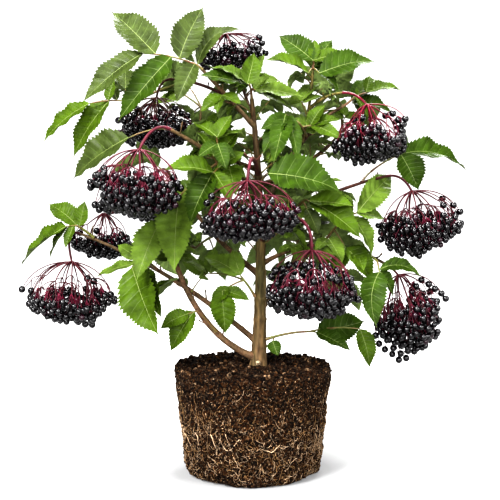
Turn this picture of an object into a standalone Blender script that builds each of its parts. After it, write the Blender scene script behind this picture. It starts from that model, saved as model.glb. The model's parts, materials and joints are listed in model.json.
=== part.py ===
"""Black elderberry shrub that stands on its root ball.

Tables and helpers hold millimetres, and MM turns them into Blender's metres. +Z is up, -Y is the
side that the camera sees, and the origin is the middle of the root ball's flat underside.
"""

import math
import random
from typing import NamedTuple

import bmesh
import bpy
from mathutils import Matrix, Vector
from mathutils.bvhtree import BVHTree

MM = 0.001
UP = Vector((0, 0, 1))
GAP = 0.3
GOLDEN_ANGLE = math.pi * (3 - math.sqrt(5))

# Root ball: the shape of the nursery pot that it was lifted out of
BALL_HEIGHT = 118.0
BALL_FOOT_RADIUS = 76.0
BALL_TOP_RADIUS = 87.0
BALL_EDGE = 5.0
BALL_SIDES = 24
BALL_RINGS = 4
BALL_LUMP = 1.6
BALL_FLAT_RADIUS = 22.0

# Trunk: it stands a little off the middle of the ball and flares at the soil
TRUNK_FOOT = Vector((6, 0, BALL_HEIGHT + GAP))
TRUNK_FLARE = 2.6
TRUNK_FLARE_HEIGHT = 9.0

# Leafy shoots: stems and leaf stalks rise a little in the middle, by a share of their length
STEM_RADIUS = 1.5
STALK_RADIUS = 1.0
END_TAPER = 0.8
STEM_RISE = 0.08
STALK_RISE = 0.1
FLATTEST = 0.35
STALK_PLACES = [0.2 + 0.77 * step / 12 for step in range(13)]

# Leaflets, one thin blade each. They leave the stalk a step apart
LEAFLET_STEP = 1.6
SHORTEST_STALK = 12.0
LEAF_TILT = 0.28
LEAF_WIDTH = (0.46, 0.54)
LEAF_ARCH = (0.02, 0.09)
LEAF_THICK = 1.2
LEAF_WIDEST = 0.34
LEAF_SHOULDER = 0.7
LEAF_SHOULDER_WIDTH = 0.66
LEAF_CREST = 0.45
LEAF_EDGE_LIFT = 1.4
STEEPEST = 0.8

# Fruit heads: rays run from the hub to a packed middle, and a few berries stand out of it
RAYS = 5
RAY_RADIUS = 1.2
HUB_DEPTH = 2.0
RAY_SHOULDER = 0.42
RAY_END = 0.6
RAY_END_RISE = 0.3
STALK_REACH = 0.55
BERRIES = 4
BERRY_DEPTHS = (-0.35, 0.95)
BERRY_JITTER = 0.2
BERRY_RADIUS = 7.0
BERRY_SINK = 1.3
CORE_SINK = 1.05

# How finely the solids are cut
TRUNK_CUTS = (10, 10)
LIMB_CUTS = (6, 5)
FRUIT_STALK_CUTS = (3, 3)
TWIG_CUTS = (3, 2)
CORE_CUTS = (8, 5)

# Surfaces: a colour in linear light and a roughness
SOIL = ((0.05, 0.026, 0.014), 0.95)
BARK = ((0.24, 0.15, 0.085), 0.75)
LEAF_GREEN = ((0.08, 0.2, 0.03), 0.48)
BERRY_BLACK = ((0.008, 0.006, 0.012), 0.22)


class Limb(NamedTuple):
    """A tapering limb that leaves its parent at a share of the parent's length."""

    name: str
    parent: str
    at: float
    tip: tuple
    bend: tuple
    thick: float
    thin: float


class Umbel(NamedTuple):
    """A hanging fruit head: its stalk runs from a limb's tip to the hub, and the berries hang under it."""

    name: str
    limb: str
    hub: tuple
    lean: tuple
    radius: float
    half: float
    drop: float


class Spray(NamedTuple):
    """A leafy side shoot. Its stem leaves a limb, and each leaf is a knee and its blades.

    A leaf's stalk runs from the stem to the knee. A blade is its place along that stalk (1 is the
    knee), the way that it points, in degrees from +X round by up, and its length.
    """

    name: str
    limb: str
    at: float
    reach: tuple
    leaves: tuple
    face: tuple = (0, -1, 0.4)


class Twig(NamedTuple):
    """A curve with a radius at each end. A seat is the upright of the surface that its foot is flat on."""

    start: Vector
    control: Vector
    end: Vector
    thick: float
    thin: float
    seat: Vector = None


class Leaflet(NamedTuple):
    """One blade, from its foot to its tip, with the direction that its upper side faces."""

    foot: Vector
    tip: Vector
    normal: Vector
    width: float
    arch: float


LIMBS = (
    Limb("trunk", "", 0, (-1, 6, 411), (12, 0, 0), 8.2, 2.2),
    Limb("left_stem", "trunk", 0.025, (-96, 16, 266), (-22, -26, -44), 4.8, 2.8),
    Limb("left_arch", "trunk", 0.08, (-188, -14, 265), (0, 24, 22), 3.4, 1.6),
    Limb("upper_left", "trunk", 0.9, (-54, -16, 441), (-4, 0, 4), 2.6, 1.7),
    Limb("fruit_twig_left", "upper_left", 0.5, (-88, 22, 434), (0, 12, 8), 1.8, 1.5),
    Limb("mid_left", "trunk", 0.655, (-86, -56, 376), (0, 6, 8), 2.9, 2.0),
    Limb("front", "trunk", 0.72, (-2, -72, 344), (0, -8, 14), 2.6, 2.0),
    Limb("lower_right", "trunk", 0.47, (50, -72, 282), (0, -10, 26), 2.8, 2.0),
    Limb("right_main", "trunk", 0.56, (98, 14, 403), (-4, 14, 34), 3.5, 1.7),
    Limb("right_upright", "right_main", 0.54, (66, 12, 444), (4, 4, 0), 2.1, 1.5),
    Limb("fruit_twig_right", "right_upright", 0.45, (97, -10, 417), (-2, -2, 8), 1.6, 1.6),
    Limb("right_mid", "trunk", 0.5, (145, -4, 327), (-4, 2, 14), 2.7, 1.6),
    Limb("right_low", "trunk", 0.38, (147, -10, 230), (0, 12, 44), 2.7, 1.5),
    Limb("top_back", "trunk", 0.93, (-24, 84, 474), (0, 26, -8), 2.0, 1.5),
    Limb("back_left", "trunk", 0.34, (-100, 112, 330), (-8, 10, -18), 3.6, 1.9),
    Limb("back_high", "trunk", 0.74, (-102, 108, 404), (-8, 18, -18), 2.7, 1.7),
    Limb("back_right", "trunk", 0.68, (128, 106, 406), (10, 20, -26), 3.0, 1.7),
    Limb("back_mid", "trunk", 0.45, (-2, 108, 324), (2, 14, -16), 2.8, 1.8),
    Limb("back_low", "trunk", 0.2, (60, 112, 240), (0, 16, -4), 2.7, 1.7),
)

UMBELS = (
    Umbel("umbel_top", "top_back", (-30, 42, 486), (0.15, -0.05), 38, 19, 23),
    Umbel("umbel_upper_left", "fruit_twig_left", (-107, 24, 414), (0, 0), 45, 23, 32),
    Umbel("umbel_mid_left", "mid_left", (-117, -76, 355), (-0.06, 0), 52, 32, 41),
    Umbel("umbel_inner_left", "left_stem", (-168, 34, 285), (-0.12, 0), 37, 20, 32),
    Umbel("umbel_far_left", "left_arch", (-195, -22, 235), (-0.08, 0), 53, 23, 44),
    Umbel("umbel_front", "front", (-6, -88, 323), (0.08, -0.1), 52, 26, 39),
    Umbel("umbel_lower_right", "lower_right", (60, -84, 252), (0.02, -0.16), 50, 30, 46),
    Umbel("umbel_upper_right", "fruit_twig_right", (123, -18, 404), (0.14, 0), 45, 27, 38),
    Umbel("umbel_right", "right_mid", (173, -12, 311), (0.2, 0), 47, 32, 40),
    Umbel("umbel_low_right", "right_low", (159, -12, 220), (0.28, 0), 42, 44, 50),
    Umbel("umbel_back_left", "back_left", (-122, 128, 326), (-0.1, 0.1), 44, 22, 36),
    Umbel("umbel_back_high", "back_high", (-120, 126, 414), (-0.05, 0.1), 42, 22, 34),
    Umbel("umbel_back_right", "back_right", (142, 120, 398), (0.1, 0.1), 42, 22, 36),
    Umbel("umbel_back_mid", "back_mid", (-4, 130, 312), (0, 0.1), 44, 22, 36),
)


def fan(way, pairs, length):
    """A regular compound leaf's blades: one at the end and pairs behind it."""
    blades = [(1, way, length)]
    for pair in range(pairs):
        for side in (-1, 1):
            blades.append((0.95 - 0.34 * pair, way + side * (56 + 16 * pair), length * (0.9 - 0.06 * pair)))
    return tuple(blades)


LEFT = (-0.5, -1, 0.4)
RIGHT = (0.5, -1, 0.4)
BACK = (0, 1, 0.7)
LEFT_BACK = (-0.8, 1, 0.7)
RIGHT_BACK = (0.8, 1, 0.7)

SPRAYS = (
    Spray("leaves_top_left", "upper_left", 1, (-62, -18, 447), (
        ((-116, -28, 457), ((1, 218, 82), (0.8, 137, 66), (0.36, 63, 60), (0.04, 42, 66), (0.12, 248, 45),
                            (0.6, 231, 88))),)),
    Spray("leaves_left_high", "fruit_twig_left", 0.75, (-136, 62, 410), (
        ((-184, 46, 409), ((1, 217, 72), (0.6, 234, 78), (0.66, 75, 24), (0.5, 112, 20))),
        ((-150, 92, 428), fan(150, 1, 56))), LEFT),
    Spray("leaves_left_mid", "mid_left", 0.93, (-98, -28, 378), (
        ((-132, -30, 368), ((1, 209, 78),)),), LEFT),
    Spray("leaves_far_left", "left_arch", 0.93, (-190, -22, 274), (
        ((-200, -27, 273), ((1, 216, 72), (1, 236, 42), (0.6, 257, 24), (0.4, 143, 42),
                            (0.3, 75, 28))),), LEFT),
    Spray("leaves_left_under", "left_arch", 0.58, (-122, -22, 240), (
        ((-130, -24, 229), ((1, 296, 72), (0.8, 199, 47), (0.4, 150, 30))),
        ((-112, -20, 226), ((1, 291, 50), (0.9, 258, 24)))), LEFT),
    Spray("leaves_hanging_left", "mid_left", 0.45, (-64, -8, 320), (
        ((-98, -38, 280), ((1, 250, 64), (0.5, 268, 76), (0.25, 232, 34))),)),
    Spray("leaves_low_left", "left_stem", 0.36, (-61, -18, 181), (
        ((-70, -21, 178), ((1, 202, 34), (0.4, 236, 50))),)),
    Spray("leaves_inner_left", "mid_left", 0.3, (-36, -34, 336), (
        ((-42, -50, 330), ((1, 243, 58), (1, 172, 52), (1, 300, 36), (0.5, 30, 34))),
        ((-43, -44, 349), ((1, 166, 54), (0.6, 50, 46), (1, 72, 34), (1, 122, 34))),
        ((-38, -46, 368), ((1, 150, 32), (1, 58, 30), (1, 20, 26))),
        ((-62, 8, 314), ((1, 240, 36), (1, 190, 36))))),
    Spray("leaves_trunk_left", "trunk", 0.26, (-10, -8, 214), (
        ((-14, -9, 219), ((1, 153, 46), (1, 110, 30))),
        ((-33, -14, 202), ((1, 272, 46), (1, 340, 30), (0.8, 231, 30))),
        ((-50, 20, 218), ((1, 150, 34), (1, 250, 32), (1, 84, 30))))),
    Spray("leaves_crown_top", "trunk", 1, (-2, 2, 422), (
        ((-6, -24, 425), ((1, 75, 36), (1, 154, 44), (1, 170, 52), (1, 226, 18))),
        ((3, -4, 420), ((1, 354, 52), (1, 334, 38), (1, 44, 24))),
        ((-4, 20, 430), fan(60, 1, 38)))),
    Spray("leaves_top_right", "right_upright", 1, (67, 11, 450), (
        ((66, 8, 453), ((1, 141, 48), (1, 12, 38), (1, 84, 34))),
        ((72, -4, 438), ((1, 14, 64), (1, 318, 30))),
        ((60, -4, 438), ((1, 164, 50), (1, 200, 34))),
        ((68, 34, 444), fan(60, 1, 44)))),
    Spray("leaves_right_top", "right_main", 1, (112, 16, 414), (
        ((126, 14, 419), ((1, 8, 42), (1, 76, 22), (0.4, 36, 24), (0.4, 300, 28))),
        ((112, 34, 408), fan(350, 1, 48))), RIGHT),
    Spray("leaves_inner_right", "right_main", 0.6, (50, -12, 384), (
        ((35, -16, 393), ((1, 259, 54), (1, 238, 50), (1, 284, 48), (1, 208, 34))),
        ((66, -4, 382), ((1, 14, 30), (1, 332, 34), (1, 60, 28))))),
    Spray("leaves_front_right", "trunk", 0.67, (12, -26, 326), (
        ((16, -46, 330), ((1, 349, 80),)),)),
    Spray("leaves_right_inner", "right_mid", 0.3, (56, -30, 302), (
        ((60, -42, 300), ((1, 323, 66), (1, 352, 48))),
        ((58, -26, 292), ((1, 296, 30), (1, 20, 30))))),
    Spray("leaves_right_leafy", "right_low", 0.5, (98, -18, 280), (
        ((112, -26, 288), ((1, 37, 56), (1, 350, 34), (0.8, 128, 36))),
        ((106, -24, 284), ((1, 302, 48),)),
        ((100, -22, 250), ((1, 307, 48), (1, 250, 34), (1, 210, 34)))), RIGHT),
    Spray("leaves_far_right", "right_mid", 0.82, (132, 24, 332), (
        ((164, 18, 351), ((1, 295, 44), (1, 348, 92), (0.8, 60, 34))),), RIGHT),
    Spray("leaves_right_under", "right_low", 0.84, (134, -30, 236), (
        ((134, -46, 226), ((1, 262, 56), (1, 304, 32), (1, 350, 48))),), RIGHT),
    Spray("leaves_low_right", "trunk", 0.1, (64, -16, 158), (
        ((70, -18, 157), ((1, 8, 55), (1, 336, 40))),
        ((116, -24, 162), ((1, 287, 42),)),
        ((22, -16, 148), ((1, 285, 24),)))),
    Spray("leaves_back_left", "back_left", 0.8, (-96, 84, 322), (
        ((-128, 152, 344), fan(200, 2, 50)), ((-70, 150, 330), fan(20, 1, 46))), LEFT_BACK),
    Spray("leaves_back_high", "back_high", 0.6, (-60, 84, 408), (
        ((-78, 112, 436), fan(140, 1, 42)), ((-126, 118, 444), fan(200, 2, 50)),
        ((-76, 140, 396), fan(290, 1, 46))), LEFT_BACK),
    Spray("leaves_back_right", "back_right", 0.8, (104, 94, 406), (
        ((84, 108, 432), fan(85, 2, 46)), ((62, 138, 396), fan(200, 1, 48)),
        ((126, 158, 384), fan(350, 1, 46))), RIGHT_BACK),
    Spray("leaves_back_mid", "back_mid", 0.7, (8, 86, 316), (
        ((-50, 116, 310), fan(195, 2, 48)), ((46, 126, 318), fan(15, 2, 50)),
        ((40, 158, 276), fan(300, 1, 46))), BACK),
    Spray("leaves_back_low", "back_low", 0.75, (54, 98, 250), (
        ((98, 126, 246), fan(345, 2, 50)), ((24, 134, 244), fan(225, 2, 44)),
        ((106, 112, 200), fan(300, 1, 46))), RIGHT_BACK),
    Spray("leaves_back_inner", "back_left", 0.45, (-66, 50, 244), (
        ((-118, 74, 242), fan(245, 1, 46)), ((-46, 92, 238), fan(290, 1, 42)),
        ((-88, 112, 244), fan(275, 1, 44))), LEFT_BACK),
)


def bezier(start, control, end, share):
    """A point on the quadratic curve from start to end."""
    rest = 1 - share
    return start * rest ** 2 + control * (2 * share * rest) + end * share ** 2


def slope(start, control, end, share):
    """The curve's unit direction at that point."""
    return ((control - start) * (1 - share) + (end - control) * share).normalized()


def on_twig(twig, share):
    return bezier(twig.start, twig.control, twig.end, share)


def along_twig(twig, share):
    return slope(twig.start, twig.control, twig.end, share)


def limb_twigs():
    """Each limb's curve, by name. A limb starts on its parent's axis."""
    curves = {}
    for limb in LIMBS:
        start = TRUNK_FOOT if not limb.parent else on_twig(curves[limb.parent], limb.at)
        tip = Vector(limb.tip)
        control = (start + tip) / 2 + Vector(limb.bend)
        seat = None if limb.parent else UP
        curves[limb.name] = Twig(start.copy(), control, tip, limb.thick, limb.thin, seat)
    return curves


def radius_at(twig, share):
    return twig.thick + (twig.thin - twig.thick) * share


def across(direction, towards):
    """The part of a vector that is square to a direction, as a unit vector."""
    return (towards - direction * towards.dot(direction)).normalized()


def side_start(limb, at, reach):
    """Where a stem leaves the limb's surface, or its tip, with a gap, and that surface's upright."""
    middle, heading = on_twig(limb, at), along_twig(limb, at)
    if at >= 1:
        return middle + heading * GAP, heading
    outward = across(heading, reach - middle)
    return middle + outward * (radius_at(limb, at) + GAP), outward


def seen_way(degrees, face):
    """The way that a blade runs: at that angle as seen from the front, and square to its face."""
    turn = math.radians(degrees)
    depth = -(math.cos(turn) * face.x + math.sin(turn) * face.z) / face.y
    return Vector((math.cos(turn), max(-STEEPEST, min(STEEPEST, depth)), math.sin(turn)))


def compound_leaf(rng, start, knee, blades, face):
    """A leaf's stalk, and its blades with their seeded tilt, width and arch."""
    knee = Vector(knee)
    control = (start + knee) / 2 + UP * (knee - start).length * STALK_RISE
    stalk = Twig(start, control, knee, STALK_RADIUS, STALK_RADIUS * END_TAPER)
    leaflets = []
    for number, (share, degrees, length) in enumerate(blades):
        tilted = (face + Vector([rng.uniform(-LEAF_TILT, LEAF_TILT) for _ in range(3)])).normalized()
        foot = on_twig(stalk, share - LEAFLET_STEP * number / max((knee - start).length, SHORTEST_STALK))
        tip = foot + seen_way(degrees, tilted) * length
        width = length * rng.uniform(*LEAF_WIDTH)
        leaflets.append(Leaflet(foot, tip, tilted, width, rng.uniform(*LEAF_ARCH)))
    return stalk, leaflets


def nearest_place(stem, knee):
    """The share of a stem's length that lies nearest to a leaf's knee, away from the stem's ends."""
    return min(STALK_PLACES, key=lambda share: (on_twig(stem, share) - knee).length)


def grow(spray, limbs):
    """A spray's stem, and its compound leaves in turn."""
    rng = random.Random(spray.name)
    limb = limbs[spray.limb]
    reach = Vector(spray.reach)
    start, seat = side_start(limb, spray.at, reach)
    if spray.at >= 1:
        control = start + along_twig(limb, 1) * (reach - start).length / 2
    else:
        control = (start + reach) / 2 + UP * (reach - start).length * STEM_RISE
    stem = Twig(start, control, reach, STEM_RADIUS, STEM_RADIUS * END_TAPER, seat)
    face = Vector(spray.face).normalized()
    leaves = []
    for knee, blades in spray.leaves:
        place = nearest_place(stem, Vector(knee))
        leaves.append(compound_leaf(rng, on_twig(stem, place), knee, blades, face))
    return stem, leaves


def umbel_axis(umbel):
    return Vector((*umbel.lean, -1)).normalized()


def umbel_stalk(umbel, limbs):
    """The stalk goes on from the limb's tip and turns down through the hub, where the rays leave it."""
    limb = limbs[umbel.limb]
    heading = along_twig(limb, 1)
    start = limb.end + heading * GAP
    end = Vector(umbel.hub) + umbel_axis(umbel) * HUB_DEPTH
    control = start + heading * (end - start).length * STALK_REACH
    return Twig(start, control, end, limb.thin, limb.thin)


def umbel_middle(umbel):
    return Vector(umbel.hub) + umbel_axis(umbel) * umbel.drop


def umbel_ray(umbel, index):
    """A main ray: it leaves the hub sideways and turns down into the berries."""
    turn = random.Random(umbel.name).uniform(0, math.tau) + math.tau * index / RAYS
    hub, axis = Vector(umbel.hub), umbel_axis(umbel)
    side = Matrix.Rotation(turn, 3, axis) @ across(axis, Vector((1, 0, 0)))
    end = umbel_middle(umbel) + side * umbel.radius * RAY_END - axis * umbel.half * RAY_END_RISE
    shoulder = hub + side * umbel.radius * RAY_SHOULDER
    return Twig(hub, shoulder, end, RAY_RADIUS, RAY_RADIUS * END_TAPER)


def umbel_berries(umbel):
    """Berry centres spread over the sides and the underside of the berry mass."""
    rng = random.Random(umbel.name)
    axis = umbel_axis(umbel)
    sideways = across(axis, Vector((1, 0, 0)))
    highest, lowest = BERRY_DEPTHS
    for index in range(BERRIES):
        depth = highest + (lowest - highest) * (index + 0.5) / BERRIES
        ring = math.sqrt(1 - depth ** 2) * (umbel.radius - BERRY_RADIUS * BERRY_SINK)
        turn = GOLDEN_ANGLE * index + rng.uniform(-BERRY_JITTER, BERRY_JITTER)
        side = Matrix.Rotation(turn, 3, axis) @ sideways
        yield umbel_middle(umbel) + side * ring + axis * depth * (umbel.half - BERRY_RADIUS / 2)


class Form:
    """Points and faces of one closed shape, in millimetres."""

    def __init__(self, points, faces):
        self.points = points
        self.faces = faces

    def tree(self):
        return BVHTree.FromPolygons(self.points, self.faces)


def tube(twig, cuts, swell=0.0, flare=0.0):
    """A tapering tube along a twig, closed at both ends. A flare widens its foot."""
    sides, steps = cuts
    points, faces = [], []
    side = across(along_twig(twig, 0), Vector((0.31, 0.87, 0.12)))
    for step in range(steps + 1):
        share = step / steps
        heading, middle = along_twig(twig, share), on_twig(twig, share)
        side = across(heading, side)
        other = heading.cross(side)
        widening = flare * math.exp((twig.start.z - middle.z) / TRUNK_FLARE_HEIGHT)
        radius = radius_at(twig, share) + swell + widening
        for index in range(sides):
            turn = math.tau * index / sides
            spoke = (side * math.cos(turn) + other * math.sin(turn)) * radius
            if twig.seat and step == 0:
                spoke -= heading * spoke.dot(twig.seat) / max(heading.dot(twig.seat), FLATTEST)
            points.append(middle + spoke)
    for step in range(steps):
        for index in range(sides):
            a, b = step * sides + index, step * sides + (index + 1) % sides
            faces.append((a, b, b + sides, a + sides))
    faces.append(tuple(reversed(range(sides))))
    faces.append(tuple(range(steps * sides, (steps + 1) * sides)))
    return Form(points, faces)


def leaf_form(leaf, swell=0.0):
    """A thin leaf-shaped solid of 12 faces, arched along its midrib and raised at its edges."""
    way = leaf.tip - leaf.foot
    ahead = way.normalized()
    side = leaf.normal.cross(ahead)
    half = leaf.width / 2 + swell
    lift = leaf.normal * (leaf.arch * way.length)

    def edge(share, spread):
        return leaf.foot + way * share + side * spread + lift * LEAF_EDGE_LIFT

    crest = leaf.foot + way * LEAF_CREST + lift
    thick = leaf.normal * (LEAF_THICK / 2 + swell)
    shoulder = half * LEAF_SHOULDER_WIDTH
    points = [
        leaf.foot - ahead, leaf.tip,
        edge(LEAF_WIDEST, half), edge(LEAF_SHOULDER, shoulder),
        edge(LEAF_WIDEST, -half), edge(LEAF_SHOULDER, -shoulder),
        crest + thick, crest - thick,
    ]
    foot, tip, left, left_end, right, right_end, top, under = range(8)
    rim = (foot, right, right_end, tip, left_end, left)
    rim_edges = list(zip(rim, rim[1:] + rim[:1]))
    faces = [(a, b, top) for a, b in rim_edges] + [(b, a, under) for a, b in rim_edges]
    return Form(points, faces)


def form_of(mesh):
    """The form that a bmesh holds, which it then frees."""
    mesh.verts.index_update()
    form = Form([v.co.copy() for v in mesh.verts], [tuple(v.index for v in f.verts) for f in mesh.faces])
    mesh.free()
    return form


def berry_form(middle):
    """A coarse ball of 20 faces."""
    mesh = bmesh.new()
    bmesh.ops.create_icosphere(mesh, subdivisions=1, radius=BERRY_RADIUS, matrix=Matrix.Translation(middle))
    return form_of(mesh)


def core_form(umbel):
    """The packed middle of a fruit head, which the outer berries stand out of."""
    turn = UP.rotation_difference(umbel_axis(umbel)).to_matrix().to_4x4()
    inner = umbel.radius - BERRY_RADIUS * CORE_SINK
    size = Matrix.Diagonal((inner, inner, umbel.half - BERRY_RADIUS / 2, 1))
    place = Matrix.Translation(umbel_middle(umbel)) @ turn @ size
    around, down = CORE_CUTS
    mesh = bmesh.new()
    bmesh.ops.create_uvsphere(mesh, u_segments=around, v_segments=down, radius=1.0, matrix=place)
    return form_of(mesh)


def limb_form(limb, twig, swell=0.0):
    if limb.parent:
        return tube(twig, LIMB_CUTS, swell)
    return tube(twig, TRUNK_CUTS, swell, TRUNK_FLARE)


def ball_form():
    """The root ball: a lumpy tapered drum with rounded edges and a level underside."""
    rng = random.Random("root_ball")
    straight = BALL_HEIGHT - 2 * BALL_EDGE
    rings = [(BALL_FOOT_RADIUS - BALL_EDGE, 0.0, 0.0), (BALL_FOOT_RADIUS, BALL_EDGE, 1.0)]
    for ring in range(1, BALL_RINGS):
        share = ring / BALL_RINGS
        radius = BALL_FOOT_RADIUS + (BALL_TOP_RADIUS - BALL_FOOT_RADIUS) * share
        rings.append((radius, BALL_EDGE + straight * share, 1.0))
    rings.append((BALL_TOP_RADIUS, BALL_HEIGHT - BALL_EDGE, 0.8))
    rings.append((BALL_TOP_RADIUS - BALL_EDGE, BALL_HEIGHT, 0.9))
    rings.append((BALL_TOP_RADIUS * 0.62, BALL_HEIGHT, 1.0))
    rings.append((BALL_FLAT_RADIUS, BALL_HEIGHT, 0.0))
    points, faces = [Vector((0, 0, 0))], []
    for radius, height, lumpiness in rings:
        lump = BALL_LUMP * lumpiness
        for index in range(BALL_SIDES):
            turn = math.tau * index / BALL_SIDES
            reach = radius + rng.uniform(-lump, lump)
            rise = rng.uniform(-lump, lump)
            points.append(Vector((reach * math.cos(turn), reach * math.sin(turn), height + rise)))
    points.append(Vector((0, 0, BALL_HEIGHT)))
    last = 1 + (len(rings) - 1) * BALL_SIDES
    for index in range(BALL_SIDES):
        after = (index + 1) % BALL_SIDES
        faces.append((0, 1 + after, 1 + index))
        for low in range(1, last, BALL_SIDES):
            high = low + BALL_SIDES
            faces.append((low + index, low + after, high + after))
            faces.append((low + index, high + after, high + index))
        faces.append((last + index, last + after, len(points) - 1))
    return Form(points, faces)


class Space:
    """What stands already, so that nothing new grows into it."""

    def __init__(self):
        self.trees = []

    def add(self, forms):
        self.trees += [form.tree() for form in forms]

    def free(self, form):
        tree = form.tree()
        return not any(tree.overlap(other) for other in self.trees)


def paint(name, surface):
    """A material with a colour and a roughness, and no metal in it."""
    colour, roughness = surface
    material = bpy.data.materials.new(name)
    material.use_nodes = True
    shader = material.node_tree.nodes["Principled BSDF"]
    shader.inputs["Base Color"].default_value = (*colour, 1)
    shader.inputs["Roughness"].default_value = roughness
    shader.inputs["Metallic"].default_value = 0.0
    return material


def make_object(name, form, foot=Vector()):
    """A mesh object in metres with its origin at its foot and its faces turned outwards."""
    mesh = bpy.data.meshes.new(name)
    mesh.from_pydata([tuple((point - foot) * MM) for point in form.points], [], form.faces)
    edit = bmesh.new()
    edit.from_mesh(mesh)
    bmesh.ops.recalc_face_normals(edit, faces=edit.faces)
    edit.to_mesh(mesh)
    edit.free()
    thing = bpy.data.objects.new(name, mesh)
    thing.location = foot * MM
    bpy.context.scene.collection.objects.link(thing)
    return thing


def fuse(name, forms, foot):
    """One solid from overlapping forms, by one Boolean union on a collection, which is applied."""
    whole = make_object(name, forms[0], foot)
    parts = bpy.data.collections.new(name + "_parts")
    bpy.context.scene.collection.children.link(parts)
    for form in forms[1:]:
        piece = make_object("piece", form)
        bpy.context.scene.collection.objects.unlink(piece)
        parts.objects.link(piece)
    union = whole.modifiers.new("Union", "BOOLEAN")
    union.operation = "UNION"
    union.operand_type = "COLLECTION"
    union.collection = parts
    union.solver = "EXACT"
    graph = bpy.context.evaluated_depsgraph_get()
    whole.data = bpy.data.meshes.new_from_object(whole.evaluated_get(graph))
    whole.data.name = name
    whole.modifiers.clear()
    for piece in list(parts.objects):
        bpy.data.objects.remove(piece)
    bpy.data.collections.remove(parts)
    return whole


def build_limbs(limbs, space):
    """The trunk and the boughs. Each bough is cut to fit its parent, a small gap clear of it."""
    by_name = {limb.name: limb for limb in LIMBS}
    cutters = {}
    for parent in sorted({limb.parent for limb in LIMBS if limb.parent}):
        cutter = make_object(parent + "_cutter", limb_form(by_name[parent], limbs[parent], GAP))
        cutter.hide_render = True
        cutter.display_type = "WIRE"
        cutters[parent] = cutter
    for limb in LIMBS:
        twig = limbs[limb.name]
        thing = make_object(limb.name, limb_form(limb, twig), twig.start)
        thing.data.shade_smooth()
        thing.data.materials.append(paint(limb.name + "_bark", BARK))
        if limb.parent:
            cut = thing.modifiers.new("Fit", "BOOLEAN")
            cut.operation = "DIFFERENCE"
            cut.object = cutters[limb.parent]
            cut.solver = "EXACT"
        space.add([limb_form(limb, twig, GAP)])


def build_umbels(limbs, space):
    """The fruit heads: a stalk, the main rays, the packed middle and the berries that stand out."""
    for umbel in UMBELS:
        stalk = umbel_stalk(umbel, limbs)
        forms = [tube(stalk, FRUIT_STALK_CUTS), core_form(umbel)]
        forms += [tube(umbel_ray(umbel, index), TWIG_CUTS) for index in range(RAYS)]
        forms += [berry_form(middle) for middle in umbel_berries(umbel)]
        thing = fuse(umbel.name, forms, stalk.start)
        thing.data.materials.append(paint(umbel.name + "_berries", BERRY_BLACK))
        space.add(forms)


def build_sprays(limbs, space):
    """The leafy shoots. A leaf or a leaflet that would touch another piece isn't grown."""
    for spray in SPRAYS:
        stem, leaves = grow(spray, limbs)
        forms = [tube(stem, TWIG_CUTS)]
        for stalk, blades in leaves:
            if not space.free(tube(stalk, TWIG_CUTS)):
                continue
            forms.append(tube(stalk, TWIG_CUTS))
            forms += [leaf_form(leaf) for leaf in blades if space.free(leaf_form(leaf, GAP))]
        thing = fuse(spray.name, forms, stem.start)
        thing.data.materials.append(paint(spray.name + "_green", LEAF_GREEN))
        space.add(forms)


def main():
    for thing in list(bpy.data.objects):
        bpy.data.objects.remove(thing)
    limbs = limb_twigs()
    space = Space()
    ball = make_object("root_ball", ball_form())
    ball.data.materials.append(paint("root_ball_soil", SOIL))
    space.add([ball_form()])
    build_limbs(limbs, space)
    build_umbels(limbs, space)
    build_sprays(limbs, space)


main()
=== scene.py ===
"""Black elderberry: the finished shrub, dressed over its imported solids.

Sizes are in millimetres, as in the tables of the solids, and MM turns them into metres. +Z is up
and -Y is the side that the camera sees. The boughs, leafy shoots and fruit heads grow by the
solids' own rule, from the same tables, and are carried on to bark, veins, teeth and berries.
"""

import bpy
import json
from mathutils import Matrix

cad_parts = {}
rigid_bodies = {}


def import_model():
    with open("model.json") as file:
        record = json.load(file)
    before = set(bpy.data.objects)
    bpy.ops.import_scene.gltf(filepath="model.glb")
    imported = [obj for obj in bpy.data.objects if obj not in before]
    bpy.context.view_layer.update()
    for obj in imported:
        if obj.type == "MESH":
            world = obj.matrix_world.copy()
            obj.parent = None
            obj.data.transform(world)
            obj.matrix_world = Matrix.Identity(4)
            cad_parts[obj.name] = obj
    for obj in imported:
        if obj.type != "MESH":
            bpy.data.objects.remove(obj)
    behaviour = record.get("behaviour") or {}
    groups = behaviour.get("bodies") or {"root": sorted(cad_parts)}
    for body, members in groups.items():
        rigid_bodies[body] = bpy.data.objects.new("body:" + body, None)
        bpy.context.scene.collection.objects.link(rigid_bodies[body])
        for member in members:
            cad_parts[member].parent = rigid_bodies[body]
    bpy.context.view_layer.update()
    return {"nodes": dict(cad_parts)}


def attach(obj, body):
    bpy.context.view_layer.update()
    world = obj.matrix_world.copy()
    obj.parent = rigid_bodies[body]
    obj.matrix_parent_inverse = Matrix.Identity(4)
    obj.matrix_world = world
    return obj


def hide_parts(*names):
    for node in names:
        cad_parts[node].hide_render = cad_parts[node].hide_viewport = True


bl_info = {
    "name": "Black elderberry",
    "version": (1, 0, 0),
    "blender": (4, 5, 0),
    "location": "3D View > Sidebar > Elderberry",
    "description": "Dresses the solids of a black elderberry shrub with bark, leaves, fruit and roots",
    "category": "Object",
}

import json
import math
import random
from typing import NamedTuple

import bpy
import numpy as np
from bpy.props import FloatProperty, FloatVectorProperty, IntProperty, PointerProperty
from bpy.types import Operator, Panel, PropertyGroup
from mathutils import Matrix, Vector
from mathutils.bvhtree import BVHTree

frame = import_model()

MM = 0.001
UP = Vector((0, 0, 1))
GAP = 0.3
GOLDEN_ANGLE = math.pi * (3 - math.sqrt(5))

# Root ball, as in the solids
BALL_HEIGHT = 118.0
BALL_FOOT_RADIUS = 76.0
BALL_TOP_RADIUS = 87.0
BALL_EDGE = 5.0

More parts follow.
